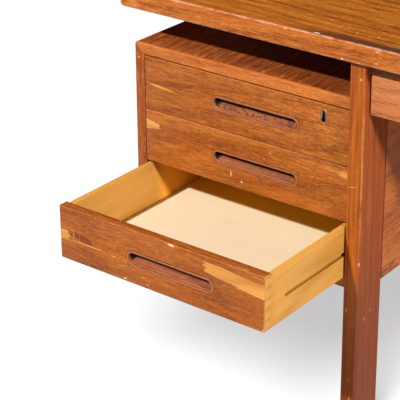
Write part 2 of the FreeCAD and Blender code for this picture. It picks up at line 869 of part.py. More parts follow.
def pedestal_drawers(side, word):
    for level, level_word in enumerate(("lower", "middle", "upper")):
        pulled_open = side < 0 and level == 0
        drawer_parts(f"{word}_{level_word}_drawer", {
            "x": f"{side} * pedestal_middle",
            "y": "front_plane - opening" if pulled_open else "front_plane",
            "z": f"lowest_drawer + {level} * pitch",
            "width": "front_width",
            "height": "front_height",
            "side_height": "side_height",
            "length": "drawer_length",
            "tails": counts["drawer_tails"],
            "pull_x": f"{-side} * pull_offset",
            "pull_z": "(front_height / 2 - pull_drop)",
            "key_x": f"{-side} * key_offset",
            "locks": level == 2,
        })


def centre_drawer():
    drawer_parts("centre_drawer", {
        "x": "0",
        "y": "centre_plane",
        "z": "centre_bottom",
        "width": "centre_width",
        "height": "centre_height",
        "side_height": "centre_side_height",
        "length": "centre_length",
        "tails": counts["centre_tails"],
        "pull_x": "0",
        "pull_z": "(centre_height / 2)",
        "key_x": "0",
        "locks": False,
    })


def build():
    desktop()
    legs()
    middle_frame()
    strikes = []
    for side, word in ((-1, "left"), (1, "right")):
        carcass(side, word)
        pedestal_runners(side, word)
        pedestal_drawers(side, word)
        strikes.append(strike_plate(side, word))
    finish(group("lock_strikes", strikes))
    centre_guides()
    centre_drawer()
    doc.removeObject(slate.Name)
    doc.recompute()


def check_and_write():
    for thing in doc.Objects:
        if {"Invalid", "Error"} & set(thing.State):
            raise ValueError(f"{thing.Label} is {thing.State}")
    os.makedirs("parts", exist_ok=True)
    for piece in finished:
        if piece.Shape.isNull() or not piece.Shape.isValid():
            raise ValueError(f"{piece.Label} has no sound shape")
    for piece in finished:
        piece.Shape.exportStep(os.path.join("parts", piece.Label + ".step"))
    print(len(finished), "nodes")


build()
check_and_write()
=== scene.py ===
import json
import math
import bmesh
import bpy
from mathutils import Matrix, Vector


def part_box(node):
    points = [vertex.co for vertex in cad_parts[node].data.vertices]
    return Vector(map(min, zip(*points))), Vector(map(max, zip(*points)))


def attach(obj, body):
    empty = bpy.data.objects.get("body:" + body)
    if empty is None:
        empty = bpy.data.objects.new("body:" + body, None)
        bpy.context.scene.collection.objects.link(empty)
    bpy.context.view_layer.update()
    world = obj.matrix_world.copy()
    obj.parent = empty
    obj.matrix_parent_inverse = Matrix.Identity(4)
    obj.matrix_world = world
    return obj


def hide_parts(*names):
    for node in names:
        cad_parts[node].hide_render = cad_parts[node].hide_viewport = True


# Looks for the executive desk, in metres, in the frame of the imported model.

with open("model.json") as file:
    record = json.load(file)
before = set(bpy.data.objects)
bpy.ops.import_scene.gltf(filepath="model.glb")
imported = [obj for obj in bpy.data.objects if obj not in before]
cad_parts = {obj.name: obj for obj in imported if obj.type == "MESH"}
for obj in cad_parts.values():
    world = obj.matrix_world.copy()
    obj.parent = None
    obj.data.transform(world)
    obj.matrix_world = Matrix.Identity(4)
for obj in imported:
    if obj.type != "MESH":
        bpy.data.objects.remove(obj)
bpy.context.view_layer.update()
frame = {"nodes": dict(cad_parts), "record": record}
nodes = frame["nodes"]
bodyOf = {name: body for body, members in frame["record"]["behaviour"]["bodies"].items() for name in members}
print("frame loaded,", len(nodes), "nodes")


# One output of a node, so that node maths reads as arithmetic.
class Signal:
    def __init__(self, wiring, socket):
        self.wiring = wiring
        self.socket = socket

    def __add__(self, other):
        return self.wiring.maths("ADD", self, other)

    __radd__ = __add__

    def __sub__(self, other):
        return self.wiring.maths("SUBTRACT", self, other)

    def __rsub__(self, other):
        return self.wiring.maths("SUBTRACT", other, self)

    def __mul__(self, other):
        return self.wiring.maths("MULTIPLY", self, other)

    __rmul__ = __mul__

    def __truediv__(self, other):
        return self.wiring.maths("DIVIDE", self, other)

    def __pow__(self, other):
        return self.wiring.maths("POWER", self, other)


# A node tree under construction.
class Wiring:
    def __init__(self, tree):
        self.tree = tree

    def node(self, kind, settings, inputs, output=0):
        made = self.tree.nodes.new(kind)
        for name, value in settings.items():
            setattr(made, name, value)
        for name, value in inputs.items():
            if isinstance(value, Signal):
                self.tree.links.new(value.socket, made.inputs[name])
            else:
                made.inputs[name].default_value = value
        return Signal(self, made.outputs[output]) if len(made.outputs) else None

    def maths(self, operation, a, b=0.0):
        return self.node("ShaderNodeMath", {"operation": operation}, {0: a, 1: b})


# Patterns that the woods share. A pair of counts is per metre, across the grain and along it.
grain = {
    "ringSway": (9.0, 1.4),
    "markRim": (300.0, 40.0),
    "markFlecks": (900.0, 120.0),
    "markRange": (0.62, 0.7),
    "nickRim": 520.0,
    "shine": 0.13,
    "fibreSheen": 0.2,
    "streakSheen": 0.1,
}


# A pair of counts as one count for each axis.
def spread(counts, along):
    return [counts[1] if axis == along else counts[0] for axis in "XYZ"]


# A material, with the patterns that wood and metal need. Colours are linear.
class Finish(Wiring):
    def __init__(self, name):
        self.material = bpy.data.materials.new(name)
        self.material.use_nodes = True
        super().__init__(self.material.node_tree)
        self.tree.nodes.clear()
        self.place = self.node("ShaderNodeTexCoord", {}, {}, "Object")
        split = self.node("ShaderNodeSeparateXYZ", {}, {0: self.place}).socket.node
        self.parts = [Signal(self, split.outputs[k]) for k in range(3)]

    def part(self, axis):
        return self.parts["XYZ".index(axis)]

    def smooth(self, value, low, high):
        return self.node("ShaderNodeMapRange", {"interpolation_type": "SMOOTHSTEP"},
                         {"Value": value, "From Min": low, "From Max": high})

    # 0 to 1 on one axis, between two places that are counted from an edge.
    def step(self, axis, edge, places):
        return self.smooth(self.part(axis), edge + places[0], edge + places[1])

    # How far a value lies inside two limits.
    def inside(self, value, low, high):
        return self.maths("MINIMUM", value - low, high - value)

    def blend(self, share, first, second):
        first, second = (shade if isinstance(shade, Signal) else (*shade, 1) for shade in (first, second))
        return self.node("ShaderNodeMix", {"data_type": "RGBA"}, {0: share, 6: first, 7: second}, 2)

    # Noise without a grain.
    def cloud(self, count, detail, output=0):
        inputs = {"Vector": self.place, "Scale": count, "Detail": detail}
        return self.node("ShaderNodeTexNoise", {}, inputs, output)

    # Noise drawn out along the grain.
    def streaks(self, along, counts, seed, detail=3.0, roughness=0.55):
        spot = self.node("ShaderNodeVectorMath", {"operation": "MULTIPLY_ADD"},
                         {0: self.place, 1: spread(counts, along), 2: (seed, seed * 1.31, seed * 0.73)})
        return self.node("ShaderNodeTexNoise", {}, {"Vector": spot, "Scale": 1.0, "Detail": detail,
                                                    "Roughness": roughness})

    # Growth rings round a log that lies along the grain, a little askew.
    def rings(self, along, centre, askew, perMetre, sway, seed):
        u, v, w = (self.part(axis) for axis in {"X": "XYZ", "Y": "YXZ", "Z": "ZXY"}[along])
        drift = self.streaks(along, grain["ringSway"], seed, 2.0) - 0.5
        a = v - centre[0] + u * askew
        b = w - centre[1]
        reach = (a * a + b * b) ** 0.5 + drift * sway
        return self.maths("SINE", reach * (perMetre * 2 * math.pi)) * 0.5 + 0.5

    # 1 in a patch on two axes, its rim broken up along the grain. It is an oval at a
    # power of 2, and squarer above it. "lean" shears it, for a mark that runs askew.
    def patch(self, axes, centre, reach, along, seed, ragged, soft, power, lean):
        a = self.part(axes[0]) - centre[0]
        b = self.part(axes[1]) - centre[1] - a * lean
        rough = self.streaks(along, grain["markRim"], seed) - 0.5
        sides = [self.maths("ABSOLUTE", side / size) ** power for side, size in zip((a, b), reach)]
        away = (sides[0] + sides[1]) ** (1 / power) + rough * ragged
        return self.smooth(away, 1.0, 1.0 - soft)

    # A height that follows straight lines through points on one axis.
    def profile(self, axis, points):
        height = points[0][1]
        for (a, first), (b, second) in zip(points, points[1:]):
            height = height + self.node("ShaderNodeMapRange", {}, {
                "Value": self.part(axis), "From Min": a, "From Max": b, "To Max": second - first})
        return height

    # Small scattered knocks or scratches: counts per metre on X, Y and Z, turned first.
    def nicks(self, counts, turn, size, share, seed):
        shift = (seed, seed * 0.7, seed * 1.9)
        spot = self.node("ShaderNodeMapping", {}, {
            "Vector": self.place, "Location": shift, "Rotation": turn, "Scale": counts})
        ragged = self.cloud(grain["nickRim"], 2.0, 1)
        spot = self.node("ShaderNodeVectorMath", {"operation": "MULTIPLY_ADD"},
                         {0: ragged, 1: (0.5, 0.5, 0.5), 2: spot})
        cells = self.node("ShaderNodeTexVoronoi", {}, {"Vector": spot, "Scale": 1.0})
        shade = Signal(self, cells.socket.node.outputs["Color"])
        chance = self.node("ShaderNodeSeparateColor", {}, {0: shade})
        return self.smooth(cells, size, size * 0.4) * self.smooth(chance, 1.0 - share, 1.01 - share)

    # Two masks along the arrises of the box that a piece fills: uneven, for wear and painted highlight, and
    # whole.
    def arris(self, low, high, width, seed):
        gaps = [self.inside(part, low[k], high[k]) for k, part in enumerate(self.parts)]
        least = self.maths("MINIMUM", self.maths("MINIMUM", gaps[0], gaps[1]), gaps[2])
        most = self.maths("MAXIMUM", self.maths("MAXIMUM", gaps[0], gaps[1]), gaps[2])
        rim = (gaps[0] + gaps[1] + gaps[2] - least - most) / width
        wear = self.cloud(90.0 + seed, 4.0)
        return self.smooth(rim - wear * 2.0 + 1.0, 1.0, 0.2), self.smooth(rim, 1.3, 0.6)

    def close(self, colour, roughness, height, bump, specular=grain["shine"], metallic=0.0):
        normal = self.node("ShaderNodeBump", {}, {"Height": height, "Strength": 1.0, "Distance": bump})
        shader = self.node("ShaderNodeBsdfPrincipled", {}, {
            "Base Color": colour, "Roughness": roughness, "Metallic": metallic, "Normal": normal,
            "Specular IOR Level": specular})
        self.node("ShaderNodeOutputMaterial", {}, {"Surface": shader})
        return self.material


# Teak. A pair of counts goes with each strength, and a range says where a shade sets in.
teak = {
    "dark": (0.115, 0.023, 0.003),
    "mid": (0.255, 0.063, 0.0085),
    "light": (0.39, 0.118, 0.018),
    "pore": (0.07, 0.014, 0.002),
    "fleck": (0.53, 0.195, 0.038),
    "wearAndHighlight": (0.46, 0.175, 0.07),
    "pale": (0.62, 0.36, 0.19),
    "sap": (0.6, 0.26, 0.042),
    "grime": (0.055, 0.014, 0.005),
    "midRange": (0.08, 0.56),
    "lightRange": (0.44, 0.92),
    "poreRange": (0.6, 0.72),
    "fleckRange": (0.6, 0.74),
    "slowCounts": (14.0, 1.2), "slow": 0.4,
    "streakCounts": (130.0, 4.5), "streak": 0.22,
    "fineCounts": (440.0, 32.0), "fine": 0.95,
    "fibreCounts": (850.0, 120.0), "fibre": 0.9,
    "poreCounts": (1300.0, 55.0), "pores": 0.55,
    "fleckCounts": (600.0, 60.0), "flecks": 0.6,
    "ringCount": 60.0, "ringSway": 0.035, "ring": 0.14,
    "log": (0.11, 0.07, 0.35),  # its heart's place across, how far the seed moves that, and its depth
    "askew": 0.06,
    "contrast": 1.0,
    "tone": 0.0,
    "knocks": 0.045,
    "arrisWidth": 0.0016, "arrisWearAndHighlight": 0.5, "arrisGloss": 0.14,
    "roughness": 0.45, "specular": grain["shine"], "bump": 0.0001,
}


# Teak's own colour, with what its wear and its relief need: (colour, fibre, pores, streaks).
def teakColour(f, look, along, seed):
    slow = f.streaks(along, look["slowCounts"], seed, 2.0)
    streaks = f.streaks(along, look["streakCounts"], seed + 3.1)
    fine = f.streaks(along, look["fineCounts"], seed + 7.7, 3.0, 0.6)
    fibre = f.streaks(along, look["fibreCounts"], seed + 5.7, 2.0, 0.65)
    across, swing, deep = look["log"]
    centre = (across + swing * math.sin(seed), deep)
    rings = f.rings(along, centre, look["askew"], look["ringCount"], look["ringSway"], seed) ** 3
    figure = ((slow - 0.5) * look["slow"] + (streaks - 0.5) * look["streak"] + (fine - 0.5) * look["fine"]
              + (fibre - 0.5) * look["fibre"] - (rings - 0.3) * look["ring"])
    shade = figure * look["contrast"] + (0.5 + look["tone"])
    colour = f.blend(f.smooth(shade, *look["midRange"]), look["dark"], look["mid"])
    colour = f.blend(f.smooth(shade, *look["lightRange"]), colour, look["light"])
    pores = f.smooth(f.streaks(along, look["poreCounts"], seed + 9.2, 2.0), *look["poreRange"])
    colour = f.blend(pores * look["pores"], colour, look["pore"])
    flecks = f.smooth(f.streaks(along, look["fleckCounts"], seed + 13.1, 2.0), *look["fleckRange"])
    colour = f.blend(flecks * look["flecks"], colour, look["fleck"])
    return colour, fibre, pores, streaks


# A mark laid over a wood: an oval about a place on two axes. A streaky or flecky one keeps to
# streaks or flecks of the grain, "along" turns its ragged rim, and "above" is its lowest height.
def mark(at, reach, tint, strength=1.0, axes="XZ", **rest):
    return {"axes": axes, "at": at, "reach": reach, "tint": tint, "strength": strength,
            "ragged": 0.6, "soft": 0.35, "power": 2, "lean": 0.0, **rest}


def lay(f, colour, marks, along, seed, streaks=None, where=1.0):
    low, high = grain["markRange"]
    for k, each in enumerate(marks):
        course = each.get("along", along)
        mask = f.patch(each["axes"], each["at"], each["reach"], course, seed + k * 2.3, each["ragged"],
                       each["soft"], each["power"], each["lean"]) * (where * each["strength"])
        if "streaky" in each:
            mask = mask * f.smooth(streaks, low - each["streaky"], high - each["streaky"])
        if "flecky" in each:
            flecks = f.streaks(course, grain["markFlecks"], seed + k * 5.1, 2.0)
            mask = mask * f.smooth(flecks, low - each["flecky"], high - each["flecky"])
        if "above" in each:
            mask = mask * f.step("Z", each["above"], (0.0, 0.001))
        colour = f.blend(mask, colour, each["tint"])
    return colour


# Knocks through the finish: specks drawn out along the grain, and scratches that run nearly along X.
speck = {"counts": (150.0, 42.0), "turn": (0.3, 0.2, 0.1), "size": 0.22, "strength": 0.55}
scratch = {"counts": (190.0, 34.0), "turn": (0.5, 0.35, 0.2), "size": 0.16, "strength": 0.4, "share": 0.5}


def knocked(f, colour, look, along, seed):
    share = look["knocks"]
    specks = f.nicks(spread(speck["counts"], along), speck["turn"], speck["size"], share, seed)
    scratches = f.nicks(spread(scratch["counts"], "X"), scratch["turn"], scratch["size"],
                        share * scratch["share"], seed + 4.4)
    return f.blend(specks * speck["strength"] + scratches * scratch["strength"], colour, look["pale"])


# A roughness that varies with the grain.
def sheenOf(look, fibre, streaks):
    return (fibre - 0.5) * grain["fibreSheen"] + (streaks - 0.5) * grain["streakSheen"] + look["roughness"]


# A height for the bump: raised fibre and open pores.
def reliefOf(fibre, pores):
    return fibre * 0.5 + (1 - pores) * 0.6


# Arrises rubbed pale and smoother; the pale colour also serves as a painted highlight along them.
def rubbed(f, look, box, seed, colour, sheen):
    wearAndHighlight, rim = f.arris(*box, look["arrisWidth"], seed)
    return f.blend(wearAndHighlight * look["arrisWearAndHighlight"], colour, look["wearAndHighlight"]), sheen - rim * look["arrisGloss"]


# Teak that runs one way. Face marks keep to the veneer of the front face.
def teakFinish(name, along, seed, changes=None, marks=(), box=None, faceMarks=()):
    look = {**teak, **(changes or {})}
    f = Finish(name)
    colour, fibre, pores, streaks = teakColour(f, look, along, seed)
    colour = lay(f, colour, marks, along, seed, streaks)
    if faceMarks:
        onFace = f.step("Y", box[0][1], look["onFace"])
        colour = lay(f, colour, faceMarks, along, seed + 5.0, streaks, onFace)
    colour = knocked(f, colour, look, along, seed)
    sheen = sheenOf(look, fibre, streaks)
    if box:
        colour, sheen = rubbed(f, look, box, seed, colour, sheen)
    return f.close(colour, sheen, reliefOf(fibre, pores), look["bump"], look["specular"])


# A carcass board: veneered along its depth, with a solid strip along its front edge.
boardLook = {"round": 0.0012, "strip": 0.006, "stripBlur": 0.0002, "stripRelief": 0.2, "tone": -0.04}
teakStrip = {"mid": (0.325, 0.083, 0.014), "light": (0.45, 0.145, 0.029), "fine": 0.7}
stripTone = 0.05


def boardFinish(name, edgeAlong, seed, box, changes, marks=()):
    look = {**teak, **boardLook, **changes}
    stripLook = {**(look if edgeAlong == "Z" else {**teak, **teakStrip}), "tone": stripTone}
    f = Finish(name)
    face, fibre, pores, streaks = teakColour(f, look, "Y", seed)
    strip, stripFibre, _, stripStreaks = teakColour(f, stripLook, edgeAlong, seed + 1.7)
    strip = lay(f, strip, marks, edgeAlong, seed, stripStreaks)
    inStrip = f.step("Y", box[0][1] + look["strip"], (look["stripBlur"], -look["stripBlur"]))
    colour = knocked(f, f.blend(inStrip, face, strip), look, "Y", seed)
    colour, sheen = rubbed(f, look, box, seed, colour, sheenOf(look, fibre, streaks))
    relief = reliefOf(fibre, pores) + stripFibre * inStrip * look["stripRelief"]
    return f.close(colour, sheen, relief, look["bump"])


# The pale woods inside the drawers.
paleWood = {
    "bandLong": 1.8, "band": 0.8, "streakLong": 5.0, "streak": 0.6, "fibreCounts": (800.0, 22.0),
    "fibre": 0.35, "ringSway": 0.05, "log": (0.14, 0.05, 0.25), "askew": 0.09, "range": (0.1, 0.9),
    "roughness": 0.5, "bump": 0.00006,
}
paleWoods = {
    "drawerSide": {"dark": (0.365, 0.155, 0.023), "light": (0.545, 0.268, 0.056), "bandCount": 20.0,
                   "streakCount": 150.0, "ringCount": 30.0, "ring": 0.3, "contrast": 0.65},
    "plywood": {"dark": (0.74, 0.58, 0.37), "light": (0.82, 0.665, 0.45), "bandCount": 9.0,
                "streakCount": 170.0, "ringCount": 26.0, "ring": 0.12, "contrast": 0.45, "roughness": 0.6},
    "runner": {"dark": (0.3, 0.12, 0.03), "light": (0.52, 0.26, 0.09), "bandCount": 24.0,
               "streakCount": 160.0, "ringCount": 60.0, "ring": 0.3, "contrast": 1.0},
}
# Thin dark growth lines on a drawer side's outer face. Its places are counted from the line's ends.
growthLine = {"width": (0.0011, 0.0003), "start": (0.0, 0.01), "end": (0.0, -0.02),
              "outside": (-0.004, -0.002), "strength": 0.55, "tint": (0.3, 0.13, 0.035)}


# Pale wood's own colour and its fibre.
def paleColour(f, look, along, seed):
    bands = f.streaks(along, (look["bandCount"], look["bandLong"]), seed, 2.0)
    streaks = f.streaks(along, (look["streakCount"], look["streakLong"]), seed + 3.0)
    fibre = f.streaks(along, look["fibreCounts"], seed + 6.0, 2.0)
    across, swing, deep = look["log"]
    centre = (across + swing * math.sin(seed), deep)
    rings = f.rings(along, centre, look["askew"], look["ringCount"], look["ringSway"], seed) ** 6
    shade = ((bands - 0.5) * look["band"] + (streaks - 0.5) * look["streak"] + (fibre - 0.5) * look["fibre"]
             - (rings - 0.2) * look["ring"]) * look["contrast"] + 0.55
    return f.blend(f.smooth(shade, *look["range"]), look["dark"], look["light"]), fibre


def paleFinish(name, kind, along, seed, marks=(), lines=(), outside=0.0):
    look = {**paleWood, **paleWoods[kind]}
    f = Finish(name)
    colour, fibre = paleColour(f, look, along, seed)
    colour = lay(f, colour, marks, along, seed)
    for points in lines:
        away = f.maths("ABSOLUTE", f.part("Z") - f.profile("Y", points))
        reach = f.step("Y", points[0][0], growthLine["start"]) * f.step("Y", points[-1][0], growthLine["end"])
        line = f.smooth(away, *growthLine["width"]) * reach * f.step("X", outside, growthLine["outside"])
        colour = f.blend(line * growthLine["strength"], colour, growthLine["tint"])
    return f.close(colour, (fibre - 0.5) * grain["fibreSheen"] + look["roughness"], fibre, look["bump"])


metals = {
    "brightSteel": {"dark": (0.3, 0.29, 0.27), "light": (0.55, 0.54, 0.51), "roughness": 0.35},
    "linerBrass": {"dark": (0.2, 0.16, 0.1), "light": (0.5, 0.43, 0.3), "roughness": 0.42},
    "screwSteel": {"dark": (0.28, 0.24, 0.17), "light": (0.58, 0.5, 0.36), "roughness": 0.38},
}
tarnish = {"count": 320.0, "range": (0.35, 0.7), "sheen": 0.3, "bump": 0.00004}


def metalFinish(name):
    metal = metals[name]
    f = Finish(name)
    film = f.cloud(tarnish["count"], 4.0)
    colour = f.blend(f.smooth(film, *tarnish["range"]), metal["dark"], metal["light"])
    sheen = (film - 0.5) * tarnish["sheen"] + metal["roughness"]
    return f.close(colour, sheen, film, tarnish["bump"], specular=0.5, metallic=1.0)


# Gives a CAD node a finish where its shape is already right.
def paint(name, material):
    piece = nodes[name]
    piece.data.materials.clear()
    piece.data.materials.append(material)


# A new object in the scene.
def added(name, data):
    piece = bpy.data.objects.new(name, data)
    bpy.context.scene.collection.objects.link(piece)
    return piece


# Puts a finished mesh in place of a CAD node, on that node's body.
def standFor(name, mesh, material):
    mesh.materials.clear()
    mesh.materials.append(material)
    piece = added(name + "_made", mesh)
    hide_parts(name)
    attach(piece, bodyOf[name])
    return piece


sharpEdge = {"board": 28, "pull": 45, "screw": 35}  # degrees
welding = {"distance": 0.00001, "flatAngle": 0.5}


# A copy of a CAD node with its arrises rounded as worn wood is, standing for the node.
def softened(name, width, material, segments=2):
    mesh = nodes[name].data.copy()
    solid = bmesh.new()
    solid.from_mesh(mesh)
    bmesh.ops.remove_doubles(solid, verts=solid.verts, dist=welding["distance"])
    bmesh.ops.dissolve_limit(solid, angle_limit=math.radians(welding["flatAngle"]), verts=solid.verts,
                             edges=solid.edges)
    for face in solid.faces:
        face.smooth = True
    solid.to_mesh(mesh)
    solid.free()
    piece = standFor(name, mesh, material)
    bevel = piece.modifiers.new("arrises", "BEVEL")
    bevel.width = width
    bevel.segments = segments
    bevel.limit_method = "ANGLE"
    bevel.angle_limit = math.radians(sharpEdge["board"])
    bevel.harden_normals = True
    bevel.use_clamp_overlap = True


# Desktop
desktopLook = {
    "roughness": 0.36, "slowCounts": (9.0, 1.2), "slow": 0.7, "streakCounts": (120.0, 4.5), "streak": 0.6,
    "fineCounts": (340.0, 20.0), "fine": 1.4, "mid": (0.36, 0.097, 0.01), "light": (0.54, 0.185, 0.02),
    "knocks": 0.05, "fleck": (0.62, 0.25, 0.035),
}
# The lipping's pale pink arris colour is wear and a painted highlight along the desktop's upper front arris.
lippingLook = {
    "roughness": 0.36, "mid": (0.325, 0.083, 0.011), "light": (0.48, 0.155, 0.022), "fine": 0.9,
    "wearAndHighlight": (0.56, 0.3, 0.21), "arrisWidth": 0.0032, "arrisWearAndHighlight": 0.5, "arrisGloss": 0.2, "round": 0.0013,
}
stain = {"soft": 0.9, "ragged": 0.4, "above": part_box("desktop_core")[1][2] - 0.0016}
topKnocks = (((-0.403, -0.202), (0.004, 0.001)), ((-0.373, -0.223), (0.003, 0.001)),
             ((-0.336, -0.231), (0.003, 0.0012)), ((-0.297, -0.231), (0.0035, 0.001)))
desktopMarks = [
    mark((-0.335, -0.264), (0.15, 0.024), (0.085, 0.022, 0.011), 0.9, "XY", **stain),
    mark((-0.225, -0.268), (0.13, 0.024), (0.045, 0.022, 0.018), 0.85, "XY", **stain),
    mark((-0.47, -0.244), (0.06, 0.012), (0.2, 0.042, 0.006), 0.45, "XY", soft=1.0, ragged=0.9),
    mark((-0.42, -0.15), (0.4, 0.014), (0.56, 0.21, 0.024), 0.35, "XY", soft=1.0, ragged=1.2),
    mark((-0.56, -0.21), (0.26, 0.01), (0.56, 0.21, 0.024), 0.35, "XY", soft=1.0, ragged=1.2),
    *(mark(at, reach, (0.7, 0.46, 0.24), 1.0, "XY") for at, reach in topKnocks),
    mark((-0.387, -0.269), (0.007, 0.0022), (0.72, 0.48, 0.32), 1.0, "XY"),
]
lippingMarks = desktopMarks + [
    mark((-0.69, 0.707), (0.08, 0.01), (0.15, 0.03, 0.006), 0.45, soft=0.8, ragged=1.5, streaky=0.1),
    mark((-0.33, 0.698), (0.11, 0.005), (0.14, 0.028, 0.01), 0.5, soft=0.8, ragged=1.5),
    mark((-0.762, 0.705), (0.02, 0.03), (0.56, 0.22, 0.04), 0.35, soft=0.9, ragged=1.0),
    mark((-0.273, 0.7195), (0.006, 0.0022), (0.56, 0.28, 0.15), 0.8, soft=0.8),
    mark((-0.3363, 0.6945), (0.0025, 0.0025), (0.64, 0.38, 0.22), 0.9, soft=0.6),
    mark((-0.445, 0.7215), (0.007, 0.0016), (0.6, 0.33, 0.19), 0.7, soft=0.8),
]
paint("desktop_core", teakFinish("desktopTeak", "X", 2.0, desktopLook, desktopMarks))
lippingFinish = teakFinish("lippingTeak", "X", 4.5, lippingLook, lippingMarks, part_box("desktop_lipping"))
softened("desktop_lipping", lippingLook["round"], lippingFinish, 3)
print("desktop dressed")

# Legs and the frame between them
legLook = {
    "slowCounts": (40.0, 1.2), "streakCounts": (230.0, 4.5), "streak": 0.8, "fineCounts": (440.0, 9.0),
    "fine": 0.9, "fibre": 0.5, "flecks": 0.25, "mid": (0.285, 0.065, 0.009), "specular": 0.06,
    "wearAndHighlight": (0.38, 0.14, 0.04), "arrisWidth": 0.0012, "arrisWearAndHighlight": 0.3, "arrisGloss": 0.0,
    "onFace": (0.0022, 0.0012), "round": 0.0011,
}
lowShade = mark((-0.314, 0.1), (0.1, 0.38), (0.1, 0.015, 0.002), 0.7, soft=1.0, ragged=0.8)
legMarks = [
    mark((-0.322, 0.3), (0.004, 0.3), (0.1, 0.016, 0.003), 0.55, soft=0.9, ragged=1.4),
    mark((-0.318, 0.4735), (0.014, 0.0009), (0.56, 0.26, 0.12), 0.8, soft=0.6, lean=0.165, along="X"),
    # A pale band down the front's right arris: wear and a painted highlight.
    mark((-0.301, 0.49), (0.0024, 0.15), (0.46, 0.21, 0.07), 0.4, soft=0.9, ragged=2.4),
    mark((-0.302, 0.2), (0.0034, 0.2), (0.19, 0.08, 0.05), 0.6, soft=0.9, ragged=1.8),
    mark((-0.308, 0.6615), (0.0016, 0.003), (0.56, 0.3, 0.19), 0.9),
    mark((-0.3, 0.338), (0.002, 0.004), (0.5, 0.26, 0.15), 0.8),
]
for k, name in enumerate(("leg_front_left", "leg_front_right", "leg_back_left", "leg_back_right")):
    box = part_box(name)
    redSide = mark((box[1][0], 0.35), (0.0022, 0.6), (0.15, 0.026, 0.013), 0.42, soft=0.3, power=6,
                   ragged=0.0)
    finish = teakFinish(name + "Teak", "Z", 11.0 + 3.7 * k, legLook, [redSide, lowShade], box,
                        legMarks if name == "leg_front_left" else ())
    softened(name, legLook["round"], finish, 3)
# The front rail is painted much darker than the teak elsewhere: painted shade under the desktop's overhang.
frontRailShadeLook = {"dark": (0.07, 0.015, 0.0045), "mid": (0.15, 0.042, 0.012), "light": (0.24, 0.08, 0.026)}
paint("front_rail", teakFinish("frontRailShadedTeak", "X", 24.0, frontRailShadeLook))
railFinish = teakFinish("railTeak", "X", 23.0, {"tone": -0.12})
for name in ("back_rail", "modesty_panel"):
    paint(name, railFinish)
print("legs dressed")

# Pedestals
carcassLook = {
    "mid": (0.205, 0.044, 0.0095), "light": (0.4, 0.115, 0.026), "fineCounts": (440.0, 26.0), "fine": 1.9,
    "fibre": 1.2, "streak": 0.2, "fleck": (0.42, 0.15, 0.045),
}
outerLook = {"dark": (0.09, 0.015, 0.0035), "mid": (0.19, 0.04, 0.008), "light": (0.3, 0.078, 0.016)}
cornerKnock = mark((-0.7685, 0.596), (0.003, 0.003), (0.64, 0.28, 0.06), 0.8, soft=0.7)
panelLook = {
    "mid": (0.32, 0.079, 0.012), "light": (0.43, 0.125, 0.022), "slow": 0.3, "fineCounts": (440.0, 20.0),
    "fine": 0.9,
}
boards = {
    "carcass_top": ("X", carcassLook),
    "outer_side": ("Z", outerLook),
    "carcass_bottom": ("X", carcassLook),
}
for side, seed in (("left", 31.0), ("right", 47.0)):
    for k, (board, (edgeAlong, look)) in enumerate(boards.items()):
        name = f"{board}_{side}"
        finish = boardFinish(name + "Teak", edgeAlong, seed + 2.9 * k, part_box(name), look,
                             [cornerKnock] if name == "outer_side_left" else ())
        softened(name, boardLook["round"], finish, 3)
    paint(f"inner_panel_{side}", teakFinish(f"innerPanelTeak_{side}", "Y", seed + 11.0, panelLook))
    paint(f"carcass_back_{side}", teakFinish(f"carcassBackTeak_{side}", "Z", seed + 13.0, {"tone": -0.1}))
    paint(f"drawer_runners_{side}", paleFinish(f"runnerWood_{side}", "runner", "Y", seed))
paint("centre_drawer_guides", paleFinish("guideWood", "runner", "Y", 3.0))
print("pedestals dressed")

